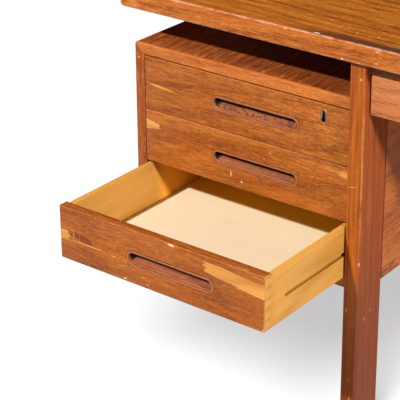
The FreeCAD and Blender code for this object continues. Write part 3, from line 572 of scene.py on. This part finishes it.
# Drawer fronts: teak veneer on a pale core, which shows at the ends and where it is worn through.
# Pairs of places are counted from the front's face, its ends or its top edge.
frontLook = {
    "arrisWidth": 0.0013, "arrisWearAndHighlight": 0.45, "round": 0.0005, "coreTint": (0.24, 0.1, 0.03),
    "coreShare": 0.25, "onFace": (0.0016, 0.001), "underVeneer": (0.001, 0.0014), "atEnd": (0.0005, 0.0003),
    "atBack": (0.0172, 0.0178), "underTop": (-0.0006, -0.0012),
}
frontLooks = {
    "centre_drawer": {"mid": (0.39, 0.122, 0.04), "light": (0.52, 0.2, 0.078), "streak": 0.12, "slow": 0.3,
                      "fine": 0.6, "fibre": 0.6},
    "left_upper_drawer": {"mid": (0.268, 0.068, 0.0092), "light": (0.405, 0.129, 0.019)},
    "left_middle_drawer": {"mid": (0.292, 0.073, 0.01), "light": (0.44, 0.142, 0.021)},
}
frontMarks = {
    "left_upper_drawer": [
        mark((-0.42, 0.552), (0.14, 0.06), (0.56, 0.24, 0.075), 0.55, soft=0.9, power=4, flecky=0.05),
        mark((-0.42, 0.552), (0.15, 0.06), (0.11, 0.023, 0.004), 0.5, soft=0.9, power=4, flecky=0.02),
        mark((-0.722, 0.55), (0.037, 0.004), teak["sap"], 0.75, soft=0.7, ragged=0.8, lean=-0.09),
        mark((-0.742, 0.579), (0.016, 0.003), teak["sap"], 0.35, soft=0.9, ragged=0.8),
        mark((-0.34, 0.52), (0.03, 0.014), teak["sap"], 0.45, soft=0.9, ragged=2.2, streaky=0.06),
        mark((-0.47, 0.518), (0.08, 0.01), (0.52, 0.2, 0.06), 0.5, soft=0.9, ragged=2.2, streaky=0.06),
    ],
    "left_middle_drawer": [
        mark((-0.4, 0.455), (0.11, 0.045), (0.56, 0.24, 0.075), 0.5, soft=0.9, power=4, flecky=0.05),
        mark((-0.6, 0.41), (0.12, 0.012), (0.56, 0.24, 0.07), 0.5, soft=0.9, flecky=0.03),
        mark((-0.5675, 0.426), (0.0018, 0.0058), teak["pale"], soft=0.5, lean=-1.2),
        mark((-0.5447, 0.4172), (0.0026, 0.0028), teak["pale"], soft=0.5),
        mark((-0.336, 0.4855), (0.02, 0.0095), teak["sap"], 0.75, soft=0.7, ragged=2.2),
        mark((-0.365, 0.49), (0.06, 0.016), (0.56, 0.23, 0.06), 0.6, soft=0.9, ragged=2.4, streaky=0.06),
        mark((-0.69, 0.445), (0.08, 0.018), (0.5, 0.19, 0.04), 0.45, soft=0.9, ragged=2.4, streaky=0.06),
    ],
    "left_lower_drawer": [
        mark((-0.708, 0.3535), (0.027, 0.0065), (0.13, 0.026, 0.006), 0.85, soft=0.25, power=4,
             ragged=0.8, lean=-0.12),
        mark((-0.725, 0.353), (0.0026, 0.0075), (0.4, 0.13, 0.023), 0.7, power=4, ragged=0.9, along="Z"),
        mark((-0.713, 0.352), (0.001, 0.007), (0.36, 0.1, 0.018), 0.6, power=4, ragged=0.6, along="Z"),
        mark((-0.693, 0.3437), (0.044, 0.001), (0.56, 0.27, 0.09), 0.8, ragged=0.8),
        mark((-0.515, 0.4), (0.008, 0.0024), (0.64, 0.36, 0.21), soft=0.3, ragged=0.9, lean=-0.08),
        mark((-0.613, 0.3085), (0.004, 0.002), (0.62, 0.37, 0.23)),
        mark((-0.332, 0.307), (0.003, 0.003), (0.56, 0.28, 0.12), 0.6, ragged=1.2),
    ],
}
# Places where the veneer is gone: ends, lower profile, upper profile.
frontTears = {
    "left_middle_drawer": [
        (-0.76, -0.724, [(-0.7555, 0.4652), (-0.7235, 0.4695)], [(-0.7555, 0.4848), (-0.7235, 0.478)]),
    ],
    "left_lower_drawer": [
        (-0.448, -0.32,
         [(-0.449, 0.3755), (-0.424, 0.3716), (-0.396, 0.3692), (-0.379, 0.3662), (-0.329, 0.361)],
         [(-0.447, 0.3932), (-0.406, 0.3925), (-0.367, 0.3878), (-0.329, 0.387)]),
        (-0.77, -0.735, [(-0.756, 0.34), (-0.734, 0.3425)], [(-0.755, 0.3587), (-0.733, 0.359)]),
    ],
}
goldCore = {**paleWood, "dark": (0.34, 0.12, 0.02), "light": (0.56, 0.26, 0.058), "bandCount": 60.0,
            "streakCount": 330.0, "ringCount": 60.0, "ring": 0.15, "contrast": 0.9}
tear = {"toothCounts": (260.0, 8.0), "tooth": 0.028, "endBlur": 0.0008,
        "frayCounts": (60.0, 90.0), "fray": 0.0022, "sideBlur": 0.0006}


# 1 in a torn strip of veneer on a front, between two profiles, its ends toothed along the grain.
def torn(f, left, right, lowPoints, highPoints, seed):
    teeth = (f.streaks("X", tear["toothCounts"], seed) - 0.5) * tear["tooth"]
    frays = (f.streaks("X", tear["frayCounts"], seed + 3.3) - 0.5) * tear["fray"]
    ends = f.inside(f.part("X"), left, right) + teeth
    rims = f.inside(f.part("Z"), f.profile("X", lowPoints), f.profile("X", highPoints)) + frays
    return f.smooth(ends, 0.0, tear["endBlur"]) * f.smooth(rims, 0.0, tear["sideBlur"])


def frontFinish(name, seed, box, drawer):
    look = {**teak, **frontLook, **frontLooks.get(drawer, {})}
    f = Finish(name)
    low, high = box
    colour, fibre, pores, streaks = teakColour(f, look, "X", seed)
    onFace = f.step("Y", low[1], look["onFace"])
    colour = lay(f, colour, frontMarks.get(drawer, ()), "X", seed, streaks, onFace)
    if drawer in frontTears:
        bare, _ = paleColour(f, goldCore, "X", seed + 8.0)
        for strip in frontTears[drawer]:
            colour = f.blend(torn(f, *strip, seed) * onFace, colour, bare)
    colour = knocked(f, colour, look, "X", seed)
    colour, sheen = rubbed(f, look, box, seed, colour, sheenOf(look, fibre, streaks))
    core, _ = paleColour(f, {**paleWood, **paleWoods["drawerSide"]}, "X", seed + 2.0)
    core = f.blend(look["coreShare"], core, look["coreTint"])
    atEnd = f.smooth(f.inside(f.part("X"), low[0], high[0]), *look["atEnd"])
    colour = f.blend(atEnd * f.step("Y", low[1], look["underVeneer"]), colour, core)
    behind = f.step("Y", low[1], look["atBack"]) * f.step("Z", high[2], look["underTop"])
    colour = f.blend(behind, colour, core)
    return f.close(colour, sheen, reliefOf(fibre, pores), look["bump"])


# The finger pulls: a carved oblong with a bead round it, whose upper wall is cut back
# behind the lip for the fingertips and whose lower wall slopes out to the floor.
pull = {
    "length": 0.1808,
    "height": 0.0278,
    "back": 0.0139,
    "setBack": 0.001,
    "bead": 0.0021,
    "proud": 0.00095,
    "step": 0.0003,
    "floor": 0.011,
    "lip": 0.0032,
    "lowLipShare": 0.4,
    "undercut": 0.002,
    "slope": 0.0075,
    "turnFrom": 0.1,
    "turnOver": 0.7,
    "turns": 20,
    "runs": 14,
    "beadRings": 8,
    "wallRings": 7,
    "cutRings": 3,
}


# The oblong's outline, as places on its spine with the way outwards from each.
def pullOutline():
    reach = (pull["length"] - pull["height"]) / 2
    outline = []
    for side in (1, -1):
        for k in range(pull["turns"] + 1):
            angle = math.pi * k / pull["turns"]
            outline.append((side * reach, side * math.sin(angle), side * math.cos(angle)))
        for k in range(1, pull["runs"]):
            outline.append((side * reach * (1 - 2 * k / pull["runs"]), 0.0, -side))
    return outline


# Rings from the back of the pull, over its bead and down into the hollow. Each ring has
# its inset and depth where the outline faces down, and where it faces up.
def pullRings():
    rings = [((0.0, pull["back"]),) * 2, ((0.0, pull["step"]),) * 2]
    for k in range(pull["beadRings"] + 1):
        angle = math.pi * k / pull["beadRings"]
        rings.append(((pull["bead"] * (1 - math.cos(angle)), -pull["proud"] * math.sin(angle)),) * 2)
    edge = 2 * pull["bead"] + pull["step"]
    lowLip = pull["lip"] * pull["lowLipShare"]
    for k in range(pull["wallRings"] + 1):
        share = k / pull["wallRings"]
        angle = math.pi / 2 * share
        slope = (edge + pull["slope"] * (1 - math.cos(angle)),
                 lowLip + (pull["floor"] - lowLip) * math.sin(angle))
        cut = (edge - pull["undercut"] * math.sin(min(1.0, k / pull["cutRings"]) * math.pi / 2),
               pull["lip"] + (pull["floor"] - pull["lip"]) * share)
        rings.append((slope, cut))
    return rings


def makePull(name, material):
    low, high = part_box(name)
    middle = ((low[0] + high[0]) / 2, low[1] + pull["setBack"], (low[2] + high[2]) / 2)
    solid = bmesh.new()
    loops = []
    for slope, cut in pullRings():
        loop = []
        for along, outX, outZ in pullOutline():
            share = min(1.0, max(0.0, (outZ - pull["turnFrom"]) / pull["turnOver"]))
            share = share * share * (3 - 2 * share)
            inset = slope[0] + (cut[0] - slope[0]) * share
            depth = slope[1] + (cut[1] - slope[1]) * share
            radius = pull["height"] / 2 - inset
            loop.append(solid.verts.new((middle[0] + along + outX * radius, middle[1] + depth,
                                         middle[2] + outZ * radius)))
        loops.append(loop)
    count = len(loops[0])
    for first, second in zip(loops, loops[1:]):
        for k in range(count):
            solid.faces.new((first[k], first[(k + 1) % count], second[(k + 1) % count], second[k]))
    solid.faces.new(loops[0])
    solid.faces.new(loops[-1])
    bmesh.ops.recalc_face_normals(solid, faces=solid.faces)
    for face in solid.faces:
        face.smooth = True
    mesh = bpy.data.meshes.new(name + "Mesh")
    solid.to_mesh(mesh)
    solid.free()
    mesh.set_sharp_from_angle(angle=math.radians(sharpEdge["pull"]))
    standFor(name, mesh, material)


pullLook = {
    "dark": (0.085, 0.017, 0.0055), "mid": (0.235, 0.058, 0.014), "light": (0.36, 0.102, 0.026),
    "knocks": 0.06, "roughness": 0.4, "specular": 0.22, "bump": 0.00012, "blotchCount": 170.0,
    "wanderCounts": (60.0, 18.0), "wander": 0.004, "paintedShadeSheen": 0.5, "heights": (0.4, 0.4, 0.3),
}
# Where each shade of a pull lies: its range of depth under the front's face, or of the way from
# a depth, its range of rise above the middle, the blotches that it keeps to, its share and its tint.
pullTones = {
    # Painted shade: the slot under the upper lip and the left end of the hollow, painted near black.
    "cut": {"depth": (0.0024, 0.004), "rise": (-0.0026, 0.0006)},
    "leftEnd": {"depth": (0.0028, 0.0045), "reach": (0.017, 0.011), "lean": 0.7},
    "paintedShade": {"share": 0.95, "tint": (0.01, 0.003, 0.0016)},
    # The lower cove's greyish tint is partly a painted reflection and partly dust, more on the dirtier pulls.
    "coveReflectionAndDust": {"depth": (0.0012, 0.0035), "rise": (0.001, -0.003), "blotch": (0.35, 0.65), "share": 0.3,
             "dirtShare": 0.35, "tint": (0.25, 0.095, 0.06)},
    "grime": {"depth": (0.002, 0.006), "blotch": (0.46, 0.6)},
    "bead": {"depth": (0.0006, -0.0006), "blotch": (0.4, 0.62), "share": 0.3, "tint": (0.34, 0.12, 0.055)},
    # Painted highlight on the bead's crown, broken up by blotches.
    "paintedCrownHighlight": {"depth": (-0.0003, -0.0008), "share": 0.35, "tint": (0.42, 0.15, 0.06)},
    # Painted highlight along the lower lip, inside the bead.
    "paintedSillHighlight": {"from": 0.0022, "depth": (0.0012, 0.0004), "rise": (-0.006, -0.009), "share": 0.7,
             "tint": (0.5, 0.19, 0.085)},
    # A dark line round the pull's outer rim: grime and painted contact shade.
    "seamShadeAndGrime": {"from": 0.0001, "depth": (0.0008, 0.0003), "share": 0.85},
}


def pullFinish(name, seed, box, dirt):
    look = {**teak, **pullLook}
    f = Finish(name)
    low, high = box
    colour, fibre, pores, _ = teakColour(f, look, "X", seed)
    depth = f.part("Y") - (low[1] + pull["setBack"])
    rise = f.part("Z") - (low[2] + high[2]) / 2
    blotch = f.cloud(look["blotchCount"], 5.0)

    # 1 where a shade lies.
    def where(shade, height=rise):
        under = f.maths("ABSOLUTE", depth - shade["from"]) if "from" in shade else depth
        mask = f.smooth(under, *shade["depth"])
        if "rise" in shade:
            mask = mask * f.smooth(height, *shade["rise"])
        if "blotch" in shade:
            mask = mask * f.smooth(blotch, *shade["blotch"])
        return mask

    # Painted shade: the slot under the upper lip, with a wandering edge, and the left end of the hollow.
    wander = (f.streaks("X", look["wanderCounts"], seed + 2.0, 2.0) - 0.5) * look["wander"]
    end = pullTones["leftEnd"]
    atEnd = f.smooth(f.part("X") - rise * end["lean"], low[0] + end["reach"][0], low[0] + end["reach"][1])
    paintedShade = f.maths("MAXIMUM", where(pullTones["cut"], rise + wander), atEnd * where(end))
    coveReflectionAndDust = pullTones["coveReflectionAndDust"]
    colour = f.blend(where(coveReflectionAndDust) * (coveReflectionAndDust["share"] + coveReflectionAndDust["dirtShare"] * dirt), colour, coveReflectionAndDust["tint"])
    colour = f.blend(where(pullTones["grime"]) * dirt, colour, look["grime"])
    masks = {key: where(pullTones[key]) for key in ("bead", "paintedCrownHighlight", "paintedSillHighlight")}
    masks["paintedCrownHighlight"] = masks["paintedCrownHighlight"] * blotch
    for key, mask in {"paintedShade": paintedShade, **masks}.items():
        colour = f.blend(mask * pullTones[key]["share"], colour, pullTones[key]["tint"])
    seamShadeAndGrime = pullTones["seamShadeAndGrime"]
    colour = f.blend(where(seamShadeAndGrime) * seamShadeAndGrime["share"], knocked(f, colour, look, "X", seed), look["grime"])
    sheen = (fibre + blotch - 1.0) * grain["fibreSheen"] + paintedShade * look["paintedShadeSheen"] + look["roughness"]
    fibreHeight, poreDepth, blotchHeight = look["heights"]
    relief = fibre * fibreHeight + (1 - pores) * poreDepth + blotch * blotchHeight
    return f.close(colour, sheen, relief, look["bump"], look["specular"])


# Drawers. The lowest left one stands open, so its sides and bottom have marks of their own, and painted warm
# shade towards the rear of its inside.
levels = ("lower", "middle", "upper")
drawerNames = [f"{side}_{level}_drawer" for side in ("left", "right") for level in levels]
drawerNames.append("centre_drawer")
openDrawer = "left_lower_drawer"
boxRound = 0.0006
pullDirt = {"left_upper_drawer": 0.75, "left_middle_drawer": 0.35}
lightDirt = 0.2
sideMarksAndShade = [
    # Painted warm shade over the rear of the open drawer's sides, inside and out.
    mark((-0.543, 0.055), (0.32, 0.306), (0.86, 0.31, 0.01), 0.75, "XY", soft=0.12, power=6, ragged=0.1),
    mark((-0.307, 0.3345), (0.005, 0.01), (0.33, 0.19, 0.09), 0.5, "YZ", soft=0.9, ragged=0.8),
    mark((-0.461, 0.388), (0.004, 0.0018), (0.48, 0.15, 0.03), 0.7, "YZ", soft=0.8),
    mark((-0.464, 0.34), (0.011, 0.06), (0.48, 0.17, 0.03), 0.45, "YZ", soft=0.5, power=6, ragged=0.6),
]
sideLines = [[(-0.46, 0.3815), (-0.454, 0.3823), (-0.4024, 0.3884), (-0.3319, 0.391), (-0.25, 0.3855)]]
plyMarksAndShade = [
    # Painted warm shade over the rear of the open drawer's bottom.
    mark((-0.543, 0.055), (0.32, 0.222), (0.86, 0.44, 0.015), 0.95, "XY", soft=0.09, power=6, ragged=0.05),
    mark((-0.59, -0.228), (0.016, 0.014), (0.76, 0.42, 0.33), 0.3, "XY", soft=0.9, ragged=1.2),
]
for k, name in enumerate(drawerNames):
    seed = 61.0 + 7.3 * k
    opened = name == openDrawer
    front, sides, bottom, fingerPull = (f"{name}_{word}" for word in ("front", "box", "bottom", "pull"))
    finish = frontFinish(front + "Teak", seed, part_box(front), name)
    softened(front, frontLook["round"], finish)
    finish = paleFinish(f"{name}SideWood", "drawerSide", "Y", seed + 1.0, sideMarksAndShade if opened else (),
                        sideLines if opened else (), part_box(sides)[1][0])
    softened(sides, boxRound, finish)
    paint(bottom, paleFinish(f"{name}Plywood", "plywood", "X", seed + 2.0, plyMarksAndShade if opened else ()))
    dirt = pullDirt.get(name, lightDirt)
    makePull(fingerPull, pullFinish(fingerPull + "Teak", seed + 4.0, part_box(fingerPull), dirt))
print("drawers dressed")

# Metal parts, and the pads under the legs
liner = {"round": 0.00025}
pad = {"dark": (0.02, 0.018, 0.015), "light": (0.06, 0.05, 0.04), "gritCount": 400.0, "roughness": 0.4,
       "sheen": 0.3, "bump": 0.00005}
steelFinish = metalFinish("brightSteel")
linerFinish = metalFinish("linerBrass")
for name in nodes:
    if name.endswith(("lock_case", "lock_bolt")) or name in ("lock_strikes", "desktop_screws"):
        paint(name, steelFinish)
    if name.endswith("keyhole_liner"):
        softened(name, liner["round"], linerFinish)
padFinish = Finish("padPlastic")
grit = padFinish.cloud(pad["gritCount"], 3.0)
padColour = padFinish.blend(grit, pad["dark"], pad["light"])
paint("leg_glides", padFinish.close(padColour, grit * pad["sheen"] + pad["roughness"], grit, pad["bump"]))
print("metal and pads dressed")

# Slotted screws. Each point carries the way its head faces and the head's size.
screw = {"Head radius": 0.0034, "Head height": 0.0011, "Slot width": 0.0008}
slotBar = {"lengthShare": 3.0, "heightShare": 2.0, "raiseShare": 1.25}
# Where the screws of a piece stand, from its edges or as shares of its width, and their size.
screwSets = {
    "back": {"inset": 0.013, "size": 1.0},
    "lockCase": {"inset": 0.0045, "size": 0.62},
    "strike": {"insets": (0.003, 0.025), "size": 0.5},
    "bottom": {"shares": (0.12, 0.5, 0.88), "inset": 0.0055, "size": 0.8},
}


def screwTree(material):
    tree = bpy.data.node_groups.new("screwHeads", "GeometryNodeTree")
    tree.interface.new_socket(name="Geometry", in_out="INPUT", socket_type="NodeSocketGeometry")
    for label in screw:
        tree.interface.new_socket(name=label, in_out="INPUT", socket_type="NodeSocketFloat")
    tree.interface.new_socket(name="Geometry", in_out="OUTPUT", socket_type="NodeSocketGeometry")
    w = Wiring(tree)
    given = w.node("NodeGroupInput", {}, {}).socket.node.outputs
    radius, height, slot = (Signal(w, given[label]) for label in screw)
    ball = w.node("GeometryNodeMeshUVSphere", {}, {"Segments": 20, "Rings": 10, "Radius": 1.0})
    stretch = w.node("ShaderNodeCombineXYZ", {}, {"X": radius, "Y": radius, "Z": height})
    head = w.node("GeometryNodeTransform", {}, {"Geometry": ball, "Scale": stretch})
    barSize = w.node("ShaderNodeCombineXYZ", {}, {
        "X": radius * slotBar["lengthShare"], "Y": slot, "Z": height * slotBar["heightShare"]})
    bar = w.node("GeometryNodeMeshCube", {}, {"Size": barSize})
    raised = w.node("ShaderNodeCombineXYZ", {}, {"Z": height * slotBar["raiseShare"]})
    bar = w.node("GeometryNodeTransform", {}, {"Geometry": bar, "Translation": raised})
    cut = w.node("GeometryNodeMeshBoolean", {"operation": "DIFFERENCE"}, {"Mesh 1": head, "Mesh 2": bar})
    facing = w.node("GeometryNodeInputNamedAttribute", {"data_type": "FLOAT_VECTOR"}, {"Name": "facing"})
    size = w.node("GeometryNodeInputNamedAttribute", {"data_type": "FLOAT"}, {"Name": "size"})
    turned = w.node("FunctionNodeAlignRotationToVector", {"axis": "Z"}, {"Vector": facing})
    spin = w.node("FunctionNodeRandomValue", {"data_type": "FLOAT"}, {2: 0.0, 3: math.pi, "Seed": 5}, 1)
    spin = w.node("ShaderNodeCombineXYZ", {}, {"Z": spin})
    turned = w.node("FunctionNodeRotateRotation", {"rotation_space": "LOCAL"}, {0: turned, 1: spin})
    heads = w.node("GeometryNodeInstanceOnPoints", {}, {
        "Points": Signal(w, given["Geometry"]), "Instance": cut, "Rotation": turned, "Scale": size})
    solid = w.node("GeometryNodeRealizeInstances", {}, {"Geometry": heads})
    solid = w.node("GeometryNodeSetMaterial", {}, {"Geometry": solid, "Material": material})
    w.node("NodeGroupOutput", {}, {"Geometry": solid})
    return tree


# The screws of each body: a place, the way the head faces, and its size.
def screwPlaces():
    places = {body: [] for body in bodyOf.values()}
    back, lockCase, strike, bottom = (screwSets[key] for key in ("back", "lockCase", "strike", "bottom"))
    for side in ("left", "right"):
        low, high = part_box(f"carcass_back_{side}")
        xs, zs = ((low[k] + back["inset"], (low[k] + high[k]) / 2, high[k] - back["inset"]) for k in (0, 2))
        rim = [(x, z) for x in xs for z in zs if (x, z) != (xs[1], zs[1])]
        places["desk_frame"] += [((x, high[1], z), (0, 1, 0), back["size"]) for x, z in rim]
        low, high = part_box(f"{side}_upper_drawer_lock_case")
        xs, zs = ((low[k] + lockCase["inset"], high[k] - lockCase["inset"]) for k in (0, 2))
        corners = [(x, z) for x in xs for z in zs]
        places[f"{side}_upper_drawer"] += [((x, high[1], z), (0, 1, 0), lockCase["size"]) for x, z in corners]
    low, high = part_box("lock_strikes")
    near, far = strike["insets"]
    for x in (low[0] + near, low[0] + far, high[0] - far, high[0] - near):
        places["desk_frame"].append(((x, (low[1] + high[1]) / 2, low[2]), (0, 0, -1), strike["size"]))
    for name in drawerNames:
        low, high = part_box(f"{name}_bottom")
        for share in bottom["shares"]:
            x = low[0] + (high[0] - low[0]) * share
            places[name].append(((x, high[1] - bottom["inset"], low[2]), (0, 0, -1), bottom["size"]))
    return places


def makeScrews(body, tree, places):
    mesh = bpy.data.meshes.new(f"{body}_points")
    mesh.from_pydata([place for place, _, _ in places], [], [])
    mesh.attributes.new("facing", "FLOAT_VECTOR", "POINT")
    mesh.attributes.new("size", "FLOAT", "POINT")
    for k, (_, way, scale) in enumerate(places):
        mesh.attributes["facing"].data[k].vector = way
        mesh.attributes["size"].data[k].value = scale
    points = added(f"{body}_points", mesh)
    heads = points.modifiers.new("heads", "NODES")
    heads.node_group = tree
    for socket in tree.interface.items_tree:
        if socket.name in screw:
            heads[socket.identifier] = screw[socket.name]
    bpy.context.view_layer.update()
    seen = points.evaluated_get(bpy.context.evaluated_depsgraph_get())
    solid = bpy.data.meshes.new_from_object(seen)
    bpy.data.objects.remove(points)
    piece = added(f"{body}_screws", solid)
    for face in solid.polygons:
        face.use_smooth = True
    solid.set_sharp_from_angle(angle=math.radians(sharpEdge["screw"]))
    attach(piece, body)


heads = screwTree(metalFinish("screwSteel"))
for body, places in screwPlaces().items():
    if places:
        makeScrews(body, heads, places)
print("screws set")

# Room: a pale floor, a key light from the front left and softer light from the right.
room = {
    "floorSize": 40.0,
    "floorTone": 0.4,
    "floorGrain": 1.02,
    "floorGrainCount": 60.0,
    "floorRoughness": 0.9,
    "floorSpecular": 0.1,
    "floorGlow": (0.515, 0.54, 0.549, 1),
    "worldStrength": 0.02,
    "keyAt": (-1.13, -3.72, 3.6),
    "keyAim": (-0.5, -0.3, 0.5),
    "keySize": 0.18,
    "keyPower": 341.0,
    "floorFrom": (0.27, -1.12, 1.0),
    "floorSpread": 24.0,
    "floorStrength": 5.95,
    "fillFrom": (2.9, -0.57, 1.0),
    "fillSpread": 4.0,
    "fillStrength": 3.75,
    "farLampAt": 3,
}


def makeFloor():
    half = room["floorSize"] / 2
    mesh = bpy.data.meshes.new("floor")
    corners = [(-half, -half, 0), (half, -half, 0), (half, half, 0), (-half, half, 0)]
    mesh.from_pydata(corners, [], [(0, 1, 2, 3)])
    floor = added("floor", mesh)
    f = Finish("paleFloor")
    tone = (room["floorTone"],) * 3
    grained = (room["floorTone"] * room["floorGrain"],) * 3
    shader = f.node("ShaderNodeBsdfPrincipled", {}, {
        "Base Color": f.blend(f.cloud(room["floorGrainCount"], 3.0), tone, grained),
        "Roughness": room["floorRoughness"], "Specular IOR Level": room["floorSpecular"],
        "Emission Color": room["floorGlow"], "Emission Strength": 1.0})
    f.node("ShaderNodeOutputMaterial", {}, {"Surface": shader})
    mesh.materials.append(f.material)
    return floor


# Lists the pieces that a lamp's light or shadow treats in a way of their own.
def linkPieces(name, pieces, state):
    chosen = bpy.data.collections.new(name)
    for piece in pieces:
        chosen.objects.link(piece)
    for member in chosen.collection_objects:
        member.light_linking.link_state = state
    return chosen


# Puts a lamp in the room, aimed along a direction. It lights everything but the pieces
# kept from it, or only those that it is kept to, and the clear pieces cast no shadow in it.
def hang(name, data, place, direction, pieces, state, clear=()):
    light = added(name, data)
    light.location = place
    light.rotation_euler = Vector(direction).to_track_quat("Z", "Y").to_euler()
    light.light_linking.receiver_collection = linkPieces(name + "Pieces", pieces, state)
    if clear:
        light.light_linking.blocker_collection = linkPieces(name + "Clear", clear, "EXCLUDE")


def farLamp(kind, pieces, state, clear=()):
    data = bpy.data.lights.new(kind + "Light", "SUN")
    data.angle = math.radians(room[kind + "Spread"])
    data.energy = room[kind + "Strength"]
    direction = Vector(room[kind + "From"])
    hang(kind + "Light", data, direction * room["farLampAt"], direction, pieces, state, clear)


# The floor has its own softer lamp, and the fill is kept off it and off the drawer bottoms.
floor = makeFloor()
bottoms = [nodes[f"{name}_bottom"] for name in drawerNames]
rightHand = [piece for piece in bpy.data.objects if piece.type == "MESH" and "right" in piece.name]
keyData = bpy.data.lights.new("keyLight", "AREA")
keyData.shape = "DISK"
keyData.size = room["keySize"]
keyData.energy = room["keyPower"]
hang("keyLight", keyData, room["keyAt"], Vector(room["keyAt"]) - Vector(room["keyAim"]), [floor], "EXCLUDE")
farLamp("fill", [floor] + bottoms, "EXCLUDE", rightHand)
farLamp("floor", [floor], "INCLUDE")

# The camera sees a white world, which hardly lights the desk.
world = bpy.data.worlds.new("studio")
world.use_nodes = True
w = Wiring(world.node_tree)
w.tree.nodes.clear()
toCamera = w.node("ShaderNodeLightPath", {}, {}, "Is Camera Ray")
level = w.node("ShaderNodeMapRange", {}, {"Value": toCamera, "To Min": room["worldStrength"]})
glow = w.node("ShaderNodeBackground", {}, {"Color": (1, 1, 1, 1), "Strength": level})
w.node("ShaderNodeOutputWorld", {}, {"Surface": glow})
bpy.context.scene.world = world
bpy.context.scene.view_settings.view_transform = "Standard"

# The camera stands where the photo was taken.
cameraPlace = {
    "at": (0.87518, -2.18075, 1.52906),
    "turn": 36.89,
    "tilt": 22.61,
    "lens": 138.51,
    "sensor": 36,
    "shiftX": -0.0734,
    "shiftY": -0.2,
    "farEnd": 60,
}
cameraData = bpy.data.cameras.new("camera")
camera = added("camera", cameraData)
camera.location = cameraPlace["at"]
camera.rotation_euler = (math.radians(90 - cameraPlace["tilt"]), 0, math.radians(cameraPlace["turn"]))
cameraData.lens = cameraPlace["lens"]
cameraData.sensor_width = cameraPlace["sensor"]
cameraData.shift_x = cameraPlace["shiftX"]
cameraData.shift_y = cameraPlace["shiftY"]
cameraData.clip_end = cameraPlace["farEnd"]
bpy.context.scene.camera = camera
print("room and camera set")
